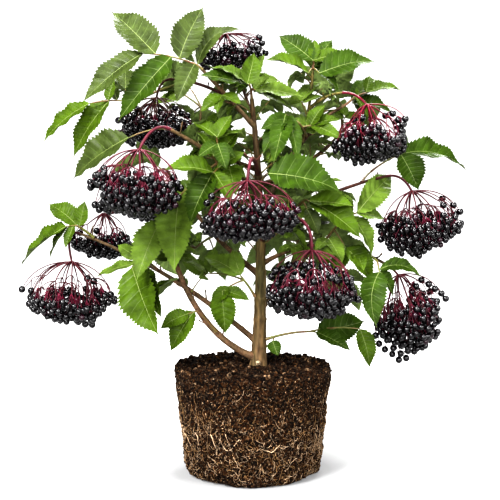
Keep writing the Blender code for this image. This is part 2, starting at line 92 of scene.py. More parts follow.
# Trunk, leafy shoots and fruit heads, as in the solids. A fan's pairs of blades have their place, spread
# and size for the first pair, and what each next pair adds or takes
TRUNK_FOOT = Vector((6, 0, BALL_HEIGHT + GAP))
TRUNK_FLARE = 2.6
TRUNK_FLARE_HEIGHT = 9.0
STEM_RADIUS = 1.5
STALK_RADIUS = 1.0
END_TAPER = 0.8
STEM_RISE = 0.08
STALK_RISE = 0.1
STALK_PLACES = [0.2 + 0.77 * step / 12 for step in range(13)]
LEAFLET_STEP = 1.6
SHORTEST_STALK = 12.0
LEAF_TILT = 0.28
LEAF_WIDTH = (0.46, 0.54)
LEAF_ARCH = (0.02, 0.09)
STEEPEST = 0.8
HUB_DEPTH = 2.0
STALK_REACH = 0.55
FAN_PLACES = (0.95, 0.34)
FAN_SPREADS = (56, 16)
FAN_SIZES = (0.9, 0.06)

# Root ball's skin: how finely it is cut, the layers of its lumps (their waves down and round the ball,
# and their depth), the grain over them, and how patches of its foot are worn away
BALL_ROWS = 84
BALL_COLUMNS = 250
BALL_TOP_ROWS = 40
UNDER_ROWS = 6
SIDE_LAYERS = ((9, 26, 1.2), (21, 62, 0.8), (42, 125, 1.0))
SIDE_GRAIN = 0.6
TOP_LAYERS = ((7, 40, 1.5), (16, 110, 1.2))
TOP_GRAIN = 0.5
BALL_INSET = 1.5
FOOT_WEAR = 6.5
FOOT_WEAR_HEIGHT = 14.0
FOOT_WEAR_FADE = 1.5
WORN_PATCHES = 12
WORN_SHARE = 0.25


class CrumbKind(NamedTuple):
    """Crumbs on the ball's side: the heights they lie between, how far they stand out, and their sizes."""

    heights: tuple
    lift: float
    sizes: tuple


# Crumbs: their tints, and how the soil's own colour and the tints are dealt out on the top
CRUMB_TINTS = {
    "black": (0.0018, 0.0008, 0.0004),
    "brown": (0.0115, 0.006, 0.0027),
    "tan": (0.033, 0.0212, 0.0124),
}
TOP_MIX = (0.45, 0.25, 0.22, 0.08)
TOP_CRUMB = (0.9, 3.4)
TOP_CRUMB_LIFT = 0.4
TOP_CRUMB_MARGIN = 3.0
RIM_CRUMBS = CrumbKind((BALL_HEIGHT - 4, BALL_HEIGHT + 2.5), -2.2, (1.0, 3.4))
GRIT = CrumbKind((1.5, BALL_HEIGHT - 1), -0.1, (0.5, 1.25))
LUMPS = CrumbKind((1.5, BALL_HEIGHT - 2), 0.2, (1.0, 2.6))
LUMP_COUNT = 260
CRUMB_CORNERS = 12
CRUMB_FACES = 20
CRUMB_STRETCH = ((0.55, 1.35), (0.6, 1.2))
NEIGHBOURS = 1.1


class RootKind(NamedTuple):
    """One kind of fine root: its share of them all, its steps, their length, and how much it wanders.

    Steep is how upright it is, tints is how many are pale, golden and brown, and aside is how far the
    kind is drawn to the ball's left and right sides.
    """

    share: float
    steps: int
    step: float
    wander: float
    steep: float
    heights: tuple
    radii: tuple
    tints: tuple
    aside: float


ROOT_NET = (
    RootKind(0.2, 4, 1.7, 0.9, 0.0, (3, 84), (0.15, 0.26), (0.3, 0.35, 0.35), 0.0),
    RootKind(0.07, 7, 2.2, 0.6, 0.2, (6, 66), (0.18, 0.3), (0.5, 0.4, 0.1), 0.1),
    RootKind(0.62, 2, 0.9, 0.9, 0.0, (2, 117.5), (0.2, 0.38), (0.34, 0.33, 0.33), 0.0),
    RootKind(0.03, 10, 3.2, 0.25, 0.8, (30, 108), (0.2, 0.34), (0.15, 0.65, 0.2), 0.42),
    RootKind(0.0025, 9, 3.2, 0.35, 0.75, (34, 70), (0.42, 0.62), (0.9, 0.1, 0.0), 0.15),
)
ROOT_SPREAD = 1.6
ROOT_STEP_SHARES = (0.6, 1.5)
ROOT_LIFT = (-0.1, 0.35)
ROOT_END_SINK = 0.3
ROOT_HEIGHTS = (1.5, BALL_HEIGHT - 0.5)
ROOT_TAPER = (1, 0.45)
STOUT_ROOT = 0.6
GOLDEN_ROOT = (0.13, 0.078, 0.034)
BROWN_ROOT = (0.05, 0.025, 0.009)
SPECK_COLOUR = (0.036, 0.0235, 0.0145)

# Bark: how far apart its rings of points lie, the collar where a bough leaves its parent, the knob and
# scar at each joint (length and height), and the small pores
TRUNK_STEP = 1.5
BOUGH_STEP = 1.9
COLLAR_DEPTH = 7.0
COLLAR_SWELL = 0.3
COLLAR_FADE = 1.2
LIMB_SLIM = {"left_stem": 0.8, "left_arch": 0.9}
USUAL_SLIM = 0.94
FIRST_JOINT = (12, 26)
LAST_JOINT = 6.0
KNOB = (2.4, 0.09)
SCAR = (0.8, 0.05)
SCAR_PLACE = 2.2
PORE_LENGTH = (0.8, 1.6)
PORE_WIDTH = 0.7
PORE_HEIGHT = 0.22
UPPER_TRUNK = (0.034, 0.0215, 0.0115)
TRUNK_COLOUR_PLACES = (0.0, 0.3, 0.58, 0.86, 1.0)
TRUNK_COLOUR_SPAN = (BALL_HEIGHT + 20, 440.0)
TRUNK_STREAKS = (1, 1, 0.22)
BACK_BOUGH = (0.0309, 0.0189, 0.0103)
BOUGH_COLOURS = {
    "left_stem": (0.0525, 0.0325, 0.0205),
    "left_arch": (0.047, 0.031, 0.019),
    "upper_left": (0.044, 0.03, 0.0165),
    "fruit_twig_left": (0.0172, 0.0069, 0.006),
    "mid_left": (0.044, 0.03, 0.0165),
    "front": (0.0378, 0.0137, 0.012),
    "lower_right": (0.0309, 0.0137, 0.0103),
    "right_main": (0.0257, 0.0163, 0.0094),
    "right_upright": (0.0554, 0.0496, 0.0190),
    "fruit_twig_right": (0.0515, 0.0463, 0.0154),
    "right_mid": (0.0206, 0.0077, 0.006),
    "right_low": (0.0292, 0.0189, 0.0094),
    "top_back": (0.0343, 0.0172, 0.0103),
}

# Bare side shoots along the limbs, each a stalk with a bud at its end: where they start and end on a
# limb, their lengths, the places along the bud, and the radii from foot to tip
SPUR_SPAN = (0.2, 0.75)
SPUR_LENGTHS = (5, 13)
SPUR_BUD = (0.4, 0.6, 0.8, 1.0)
SPUR_RADII = (1.3, 0.9, 0.8, 0.7, 1.05, 0.8, 0.08)
SPUR_KNEE = 0.6

# Pruned stub at the trunk's foot: its profile is pairs of a place along it and a radius
STUB_PLACE = (5.6, -9.6, 122.6)
STUB_WAY = (0.1, -1.0, 0.05)
STUB_LENGTH = 3.4
STUB_RADIUS = 3.0
STUB_SIDES = 12
STUB_PROFILE = ((-1.6, 1.4), (0.0, 1.15), (0.7, 1.05), (1.0, 0.9), (1.02, 0.7), (0.9, 0.02))
STUB_BARK_ROWS = 3
CUT_COLOUR = (0.1768, 0.1248, 0.0728)

# Leaves: the columns of a blade from edge to edge, its outline, and the least and most of what is
# drawn for each blade
BLADE_COLUMNS = (-1, -0.66, -0.33, 0, 0.33, 0.66, 1)
SMALL_BLADE_COLUMNS = (-1, -0.5, 0, 0.5, 1)
SMALL_LEAF = 40.0
BLADE_THICK = 0.3
BLADE_EDGE_THIN = 0.6
LEAF_BODY = 0.95
LEAF_FOOT_ROUND = 0.66
LEAF_TIP_ROUND = 1.0
LEAF_TIP_WIDTH = 0.27
LEAF_TIP_TAPER = 0.6
USUAL_LEAF = 60.0
USUAL_LEAF_WIDTH = 28
TOOTH_LEAN = 0.7
TOOTH_AT_TIP = 1.6
SWEEP_BOW = 0.7
SWEEP_OUT = 1.2
MIDRIB_ROUND = 1.5
CURL = (0.0, 0.09)
CURL_BOW = 2.5
SICKLE = 0.07
TWIST = 0.35
WAVES = (2.0, 3.6)
WAVE_OUT = 1.6
FLATTEST = 0.4

# Stems and stalks: how much a foot swells and how fast that fades, and how thin the very end is
FOOT_SWELL = 0.35
FOOT_FADE = 9
END_THIN = 0.6

# Ribs and veins: their radii or half widths from foot to tip, and how far a side vein reaches
RIB_RADII = (0.65, 0.16)
RIB_STEP = 4
VEIN_HALVES = (0.3, 0.12)
VEIN_LIFT = 0.07
VEIN_REACH = 0.6

# Greens: how they are dealt out to each shoot's blades, and how often a blade differs from the last
LEAF_GLOSS = {"grey": 0.05}
USUAL_GLOSS = 0.03
LEAF_TONES = ("mid", "deep", "fresh", "grey")
UNDERSIDE, RIB, VEIN, STEM = range(len(LEAF_TONES), len(LEAF_TONES) + 4)
STEM_FLUSH = (0.0624, 0.026, 0.013)
TONE_SHARES = {
    "plain": (0.6, 0.18, 0.12, 0.1),
    # Painted shade and sheen: duller, darker greens for the shoots at the top left, which the key light falls
    # on strongly
    "painted_shade_and_sheen": (0.4, 0.12, 0.0, 0.48),
    "fresh": (0.3, 0.05, 0.6, 0.05),
    # Painted light: the shoots behind take lighter greens and no deep green, to lift the shade inside the
    # crown
    "back": (0.25, 0.0, 0.5, 0.25),
    "deep": (0.35, 0.55, 0.05, 0.05),
    "inner": (0.45, 0.15, 0.25, 0.15),
}
# Each shoot's greens: some are the leaves' own tone, as for the young shoots at the crown top and on the
# right, and some paint light or shade
SPRAY_TONES_AND_PAINTED_LIGHT = {
    # Painted shade and sheen: the next three shoots, at the top left, take the duller, darker greens
    "leaves_top_left": "painted_shade_and_sheen",
    "leaves_left_high": "painted_shade_and_sheen",
    "leaves_left_mid": "painted_shade_and_sheen",
    "leaves_crown_top": "fresh",
    # Painted light: the next three shoots take the lighter fresh greens to lift the shade that fruit heads
    # and leaves cast on them
    "leaves_trunk_left": "fresh",
    "leaves_right_inner": "fresh",
    "leaves_hanging_left": "fresh",
    "leaves_right_leafy": "fresh",
    "leaves_front_right": "deep",
}
TONE_SWITCH = 0.35

# How far each shoot's blades roll to the sky, which shows them slim from the front
USUAL_ROLL = 0.3
SKYWARD = {
    "leaves_crown_top": 0.45,
    "leaves_top_right": 0.5,
    "leaves_right_top": 0.5,
    "leaves_left_high": 0.35,
    "leaves_left_mid": 0.35,
    "leaves_far_left": 0.5,
    "leaves_left_under": 0.05,
    "leaves_inner_left": 0.4,
    "leaves_trunk_left": 0.2,
    "leaves_inner_right": 0.2,
    "leaves_front_right": 0.1,
    "leaves_far_right": 0.35,
    "leaves_low_right": 0.2,
}


class BladeChange(NamedTuple):
    """How a blade differs from its leaflet: its roll to the sky, its width and length, and its bend."""

    roll: float = 0.0
    wide: float = 1.0
    bend: float = 0.0
    long: float = 1.0


# Single blades that differ: for each shoot, a blade's leaf and its place there, and its BladeChange
SMALL_UPTURNED = (0.9, 0.6, 0.0, 0.6)
BLADE_CHANGES = {
    "leaves_top_left": {
        (0, 0): (0.35, 0.66),
        (0, 1): (0.0, 1.12, 0.02, 1.06),
        (0, 2): (0.0, 1.1, 0.04, 1.03),
        (0, 3): (0.1, 0.55, 0.14),
        (0, 4): (0.0, 1.0),
        (0, 5): (0.2, 0.68)},
    "leaves_left_high": {
        (0, 0): (0.35, 0.7),
        (0, 1): (0.3, 0.72),
        (1, 0): SMALL_UPTURNED,
        (1, 1): SMALL_UPTURNED,
        (1, 2): SMALL_UPTURNED},
    "leaves_left_mid": {(0, 0): (0.2, 0.9)},
    "leaves_left_under": {(0, 0): (0.0, 1.25), (0, 1): (0.4, 0.7), (1, 0): (0.2, 0.75)},
    "leaves_hanging_left": {(0, 0): (0.45, 0.95), (0, 1): (0.45, 0.95)},
    "leaves_far_right": {(0, 0): (0.0, 1.3), (0, 1): (0.3, 0.62, 0.1)},
    "leaves_right_inner": {(0, 0): (0.45, 1.1), (0, 1): (0.45, 1.0)},
    "leaves_right_leafy": {(0, 0): (0.0, 0.9, 0.05, 1.12)},
    "leaves_inner_right": {(0, 0): (0.35, 0.72), (0, 1): (0.35, 0.7), (0, 2): (0.4, 0.7)},
    "leaves_crown_top": {(1, 0): (0.5, 0.8)},
    "leaves_top_right": {(0, 0): (0.1, 1.15), (1, 0): (0.2, 1.0), (0, 2): (0.6, 0.7, 0.0, 0.75)},
    "leaves_right_under": {(0, 0): (0.1, 1.0, -0.12), (0, 2): (0.3, 0.65, 0.16)},
    "leaves_low_right": {(0, 0): (0.1, 1.15), (0, 1): (0.4, 0.8), (2, 0): (0.0, 1.25, 0.0, 0.7)},
}

# Inner leaves: the limb, the shares of its length between which they grow, how many, and how far out
# their blades start. A blade is its place on the stalk, its way from it in degrees, and its size
INNER_SHOOTS = (
    ("trunk", 0.42, 0.72, 9, (16, 44)),
    ("trunk", 0.7, 0.96, 14, (14, 40)),
    ("upper_left", 0.1, 0.7, 4, (12, 26)),
    ("mid_left", 0.15, 0.7, 7, (12, 34)),
    ("right_main", 0.1, 0.8, 7, (12, 30)),
    ("right_upright", 0.2, 0.9, 3, (12, 26)),
    ("right_mid", 0.1, 0.6, 6, (12, 32)),
    ("right_low", 0.15, 0.7, 6, (12, 30)),
    ("left_stem", 0.62, 0.95, 4, (12, 30)),
    ("back_left", 0.3, 0.95, 7, (14, 36)),
    ("back_high", 0.25, 0.95, 8, (14, 36)),
    ("back_right", 0.25, 0.95, 8, (14, 36)),
    ("back_mid", 0.3, 0.95, 7, (14, 36)),
    ("back_low", 0.35, 0.95, 6, (14, 34)),
    ("top_back", 0.2, 0.8, 5, (14, 30)),
)
INNER_BLADES = ((1, 0, 1.0), (0.9, 62, 0.85), (0.9, -62, 0.85), (0.5, 78, 0.7), (0.5, -78, 0.7))
INNER_STALK = (0.8, 0.6)
INNER_SWAY = 12
INNER_TILT = 0.3
INNER_DROOP = 0.4
FRUIT_CLEARANCE = 1.25

# The trunk shows between the fruit heads: this far to each side of it, above this height and in front
# of this depth, no inner leaf stands
TRUNK_VIEW = 20
TRUNK_VIEW_FOOT = 325
TRUNK_VIEW_BACK = 4


class HeadShape(NamedTuple):
    """A fruit head's own shape as seen from the front, in millimetres across and up from its middle.

    A hollow is its place and its radius, and a loose berry is its place.
    """

    hollows: tuple = ()
    loose: tuple = ()


HEAD_SHAPES = {
    "umbel_top": HeadShape(
        ((-5, 19, 10), (-21, 12, 9), (12, 19, 9)),
        ((34, 19), (37, 12), (41, 2), (29, 14))),
    "umbel_upper_left": HeadShape(
        ((-40, -1, 4), (-23, -24, 7)),
        ((-43, 7), (-37, 14), (-32, 16), (-25, 13), (-16, 15), (-8, 11), (1, 10), (9, 11), (15, 16),
         (21, 20), (28, 15), (34, 12), (5, 16), (-21, 19))),
    "umbel_mid_left": HeadShape(
        ((0, 30, 10), (-20, 26, 9), (20, 27, 9), (-41, -6, 6), (49, 2, 6)),
        ((-39, 16), (-32, 12), (-41, 7), (-47, 2), (-36, 2), (-43, -16), (-39, -21), (38, 12), (42, 6),
         (45, 1))),
    "umbel_inner_left": HeadShape(
        ((-18, 13, 9), (-1, 17, 10), (16, 14, 8)),
        ((-23, 10), (-4, 12), (14, 6), (24, 8), (29, 4))),
    "umbel_far_left": HeadShape(
        ((1, 20, 10), (-14, 19, 5), (-44, -15, 10), (-29, -20, 10), (-12, -27, 8), (46, -13, 9),
         (40, -23, 9), (31, 17, 4)),
        ((-51, 14), (-42, 12), (-43, 5), (-44, -2), (-36, -3), (45, 8), (35, -2), (29, -9), (25, -17),
         (24, -25), (17, -24), (9, -22), (20, 26), (27, 23))),
    "umbel_front": HeadShape(
        ((-3, 25, 8), (12, 25, 7), (52, -18, 8)),
        ((-39, 23), (-34, 27), (-44, 16), (43, 14), (48, 9))),
    "umbel_lower_right": HeadShape(
        ((-6, 12, 3), (6, 12, 4), (18, 10, 5), (30, 10, 5), (41, 25, 7), (41, -14, 6)),
        ((-42, 19), (-38, 25), (-31, 27), (-24, 30), (-16, 31), (-8, 30), (0, 31), (9, 30), (17, 28),
         (25, 25), (33, 21), (39, 16), (-33, 20), (-26, 22), (-19, 24), (-11, 23), (-3, 24), (6, 23),
         (14, 21), (22, 19), (-36, 14), (-29, 15), (-22, 17), (-14, 17), (-7, 17), (0, 17), (8, 16),
         (15, 15), (28, 15), (34, 13), (-28, 27), (-20, 27), (-12, 27), (-4, 28), (4, 27), (12, 26),
         (20, 24), (28, 22), (42, 3), (46, -4))),
    "umbel_upper_right": HeadShape(
        ((0, 25, 7), (18, 10, 8), (9, 17, 5), (-29, 17, 7), (-38, -23, 8)),
        ((15, 26), (22, 28), (35, 22), (28, 21), (-19, 21), (-11, 23))),
    "umbel_right": HeadShape(
        ((-30, 25, 10), (-39, 13, 7), (0, 27, 8), (-15, 27, 6), (15, 24, 6), (36, -23, 12), (16, -34, 12),
         (30, 17, 5)),
        ((26, 31), (25, 24), (37, 24), (44, 17), (44, 2), (33, -10), (17, -18), (-4, -26), (-42, -13))),
    "umbel_low_right": HeadShape(
        ((-28, 26, 15), (-37, 8, 10), (-9, 25, 10), (38, 10, 8), (39, -10, 10), (35, -30, 11),
         (25, -38, 9)),
        ((5, 36), (1, 29), (12, 42), (19, 38), (26, 33), (33, 28), (38, 22), (29, 19), (28, -1),
         (27, -20), (-12, -46), (-19, -40), (-4, -44), (-27, -35), (5, -37), (-34, -28), (-11, -38),
         (-38, -19), (-19, -32), (-3, -35), (-29, -26), (-10, -30), (-23, -24), (-35, -11), (13, -32),
         (22, 20), (22, 29))),
}
HOLLOW_MARGIN = 0.8
LOOSE_DEPTH = 6.0
LOOSE_SIZE = 1.1

# Berries: a berry's profile as radii and heights, how many places are tried in a head, how far out its
# outer and inner berries lie as shares of its radius, its lobes, the clumps that it opens between at the
# top, and the bare stalks' ends there
BERRY_SIDES = 10
BERRY_PROFILE = ((0.03, -1.0), (0.55, -0.84), (0.92, -0.39), (0.98, 0.2), (0.68, 0.73), (0.17, 0.95),
                 (0.03, 1.07))
TRIES = 5200
OUTER_SHARE = 0.6
OUTER_SHELL = (0.93, 1.03)
INNER_SHELL = (0.5, 0.86)
LOBES = 11
LOBE_FLAT = 0.7
LOBE_FROM = 0.7
LOBE_OVER = 0.27
LOBE_REACH = (0.84, 0.19)
TOP_SCATTER = (-1.5, 2.0)
CLUMPS = 46
CLUMP_TOPS = (-0.8, 0.0)
BARE_TOP = 0.8
BARE_SHELL = (0.62, 0.84)
BARE_SHARE = 0.16
BERRY_SIZES = (0.86, 1.06)
BERRY_SHARES = (0.945, 0.053, 0.002)
UNRIPE = 2
UNRIPE_SIZE = 0.7
BERRY_DROOP = -0.35

# Pieces: a head's berries go to the back piece beyond this depth, and to the left or right piece beyond
# these places across, all in millimetres
BACK_FROM = 60
LEFT_FROM = -60
RIGHT_FROM = 100

# Rays: a ray's radii run from its foot to its end, and a bend is how far it leaves sideways and how far
# it falls. A level is how far its ends are drawn up to the hub and in to the axis
STALK_SLIM = 0.8
BERRIES_TO_A_RAY = 6
MAIN_RAYS = 11
MAIN_RAY = (1.05, 0.58)
MAIN_BENDS = ((0.45, 0.66), (0.02, 0.42))
MAIN_LEVEL = (0.62, 0.74)
SIDE_RAY = (0.62, 0.42)
SIDE_BEND = (0.75, 0.1)
SIDE_LEVEL = (0.66, 0.9)
BRANCH_LEVEL = (0.2, 1.0)
ARCH = (0.7, 0.42)
ARCH_FROM = 0.75
ARCH_BEND = (0.78, 0.08)
FINE_STALK = (0.46, 0.36, 0.3, 0.34)
STOUT_STALK = (0.6, 0.52, 0.48, 0.5)
STALK_WANDER = 0.8
FINE_TINT_SHARE = 0.65
RAY_COLOURS = {
    "rose": (0.038, 0.0062, 0.0105),
    "crimson": (0.05, 0.0028, 0.0078),
    "maroon": (0.0233, 0.0042, 0.0058),
    "brown": (0.0216, 0.0092, 0.0058),
    "magenta": (0.0499, 0.0033, 0.0116),
}
FINE_RAYS = "magenta"
USUAL_RAYS = "maroon"
HEAD_RAYS = {
    "umbel_upper_left": "brown",
    "umbel_mid_left": "rose",
    "umbel_front": "rose",
    "umbel_lower_right": "rose",
    "umbel_upper_right": "crimson",
}

# Stage: the surround is white up to the first height of this band (the sine of the angle above the floor) and
# dims to its overhead strength at the second. The floor's glow is painted light: it grows to full strength
# over the distances from the plant, in metres, and is weaker near the plant, a painted shade round its foot
BAND = (0.2, 0.4)
FLOOR_FADE = (0.085, 0.26)
FLOOR_REACH = 6.0
FLOOR_DROP = 0.0002
LIGHT_AIM = (0, 0, 0.27)
SENSOR = 36.0

# Lights: where each stands, in metres, and its width. The looks give the key light's width
KEY_PLACE = (-0.9, -1.3, 1.55)
LIGHTS = {
    "fill": ((1.35, -1.1, 0.95), 0.8),
    "front": ((-0.2, -2.2, 0.6), 1.4),
    "top": ((0.3, -0.3, 1.8), 0.9),
    "back": ((0.4, 1.3, 1.6), 1.0),
}


class Limb(NamedTuple):
    """A tapering limb that leaves its parent at a share of the parent's length."""

    name: str
    parent: str
    at: float
    tip: tuple
    bend: tuple
    thick: float
    thin: float


class Umbel(NamedTuple):
    """A hanging fruit head: its stalk runs from a limb's tip to the hub, and the berries hang under it."""

    name: str
    limb: str
    hub: tuple
    lean: tuple
    radius: float
    half: float
    drop: float


class Spray(NamedTuple):
    """A leafy side shoot. Its stem leaves a limb, and each leaf is a knee and its blades.

    A leaf's stalk runs from the stem to the knee. A blade is its place along that stalk (1 is the
    knee), the way that it points, in degrees from +X round by up, and its length.
    """

    name: str
    limb: str
    at: float
    reach: tuple
    leaves: tuple
    face: tuple = (0, -1, 0.4)


class Twig(NamedTuple):
    """A curve with a radius at each end."""

    start: Vector
    control: Vector
    end: Vector
    thick: float
    thin: float


class Leaflet(NamedTuple):
    """One blade, from its foot to its tip, with the direction that its upper side faces."""

    foot: Vector
    tip: Vector
    normal: Vector
    width: float
    arch: float


LIMBS = (
    Limb("trunk", "", 0, (-1, 6, 411), (12, 0, 0), 8.2, 2.2),
    Limb("left_stem", "trunk", 0.025, (-96, 16, 266), (-22, -26, -44), 4.8, 2.8),
    Limb("left_arch", "trunk", 0.08, (-188, -14, 265), (0, 24, 22), 3.4, 1.6),
    Limb("upper_left", "trunk", 0.9, (-54, -16, 441), (-4, 0, 4), 2.6, 1.7),
    Limb("fruit_twig_left", "upper_left", 0.5, (-88, 22, 434), (0, 12, 8), 1.8, 1.5),
    Limb("mid_left", "trunk", 0.655, (-86, -56, 376), (0, 6, 8), 2.9, 2.0),
    Limb("front", "trunk", 0.72, (-2, -72, 344), (0, -8, 14), 2.6, 2.0),
    Limb("lower_right", "trunk", 0.47, (50, -72, 282), (0, -10, 26), 2.8, 2.0),
    Limb("right_main", "trunk", 0.56, (98, 14, 403), (-4, 14, 34), 3.5, 1.7),
    Limb("right_upright", "right_main", 0.54, (66, 12, 444), (4, 4, 0), 2.1, 1.5),
    Limb("fruit_twig_right", "right_upright", 0.45, (97, -10, 417), (-2, -2, 8), 1.6, 1.6),
    Limb("right_mid", "trunk", 0.5, (145, -4, 327), (-4, 2, 14), 2.7, 1.6),
    Limb("right_low", "trunk", 0.38, (147, -10, 230), (0, 12, 44), 2.7, 1.5),
    Limb("top_back", "trunk", 0.93, (-24, 84, 474), (0, 26, -8), 2.0, 1.5),
    Limb("back_left", "trunk", 0.34, (-100, 112, 330), (-8, 10, -18), 3.6, 1.9),
    Limb("back_high", "trunk", 0.74, (-102, 108, 404), (-8, 18, -18), 2.7, 1.7),
    Limb("back_right", "trunk", 0.68, (128, 106, 406), (10, 20, -26), 3.0, 1.7),
    Limb("back_mid", "trunk", 0.45, (-2, 108, 324), (2, 14, -16), 2.8, 1.8),
    Limb("back_low", "trunk", 0.2, (60, 112, 240), (0, 16, -4), 2.7, 1.7),
)

UMBELS = (
    Umbel("umbel_top", "top_back", (-30, 42, 486), (0.15, -0.05), 38, 19, 23),
    Umbel("umbel_upper_left", "fruit_twig_left", (-107, 24, 414), (0, 0), 45, 23, 32),
    Umbel("umbel_mid_left", "mid_left", (-117, -76, 355), (-0.06, 0), 52, 32, 41),
    Umbel("umbel_inner_left", "left_stem", (-168, 34, 285), (-0.12, 0), 37, 20, 32),
    Umbel("umbel_far_left", "left_arch", (-195, -22, 235), (-0.08, 0), 53, 23, 44),
    Umbel("umbel_front", "front", (-6, -88, 323), (0.08, -0.1), 52, 26, 39),
    Umbel("umbel_lower_right", "lower_right", (60, -84, 252), (0.02, -0.16), 50, 30, 46),
    Umbel("umbel_upper_right", "fruit_twig_right", (123, -18, 404), (0.14, 0), 45, 27, 38),
    Umbel("umbel_right", "right_mid", (173, -12, 311), (0.2, 0), 47, 32, 40),
    Umbel("umbel_low_right", "right_low", (159, -12, 220), (0.28, 0), 42, 44, 50),
    Umbel("umbel_back_left", "back_left", (-122, 128, 326), (-0.1, 0.1), 44, 22, 36),
    Umbel("umbel_back_high", "back_high", (-120, 126, 414), (-0.05, 0.1), 42, 22, 34),
    Umbel("umbel_back_right", "back_right", (142, 120, 398), (0.1, 0.1), 42, 22, 36),
    Umbel("umbel_back_mid", "back_mid", (-4, 130, 312), (0, 0.1), 44, 22, 36),
)


def fan(way, pairs, length):
    """A regular compound leaf's blades: one at the end and pairs behind it."""
    blades = [(1, way, length)]
    for pair in range(pairs):
        for side in (-1, 1):
            place = FAN_PLACES[0] - FAN_PLACES[1] * pair
            spread = FAN_SPREADS[0] + FAN_SPREADS[1] * pair
            blades.append((place, way + side * spread, length * (FAN_SIZES[0] - FAN_SIZES[1] * pair)))
    return tuple(blades)


LEFT = (-0.5, -1, 0.4)
RIGHT = (0.5, -1, 0.4)
BACK = (0, 1, 0.7)
LEFT_BACK = (-0.8, 1, 0.7)
RIGHT_BACK = (0.8, 1, 0.7)

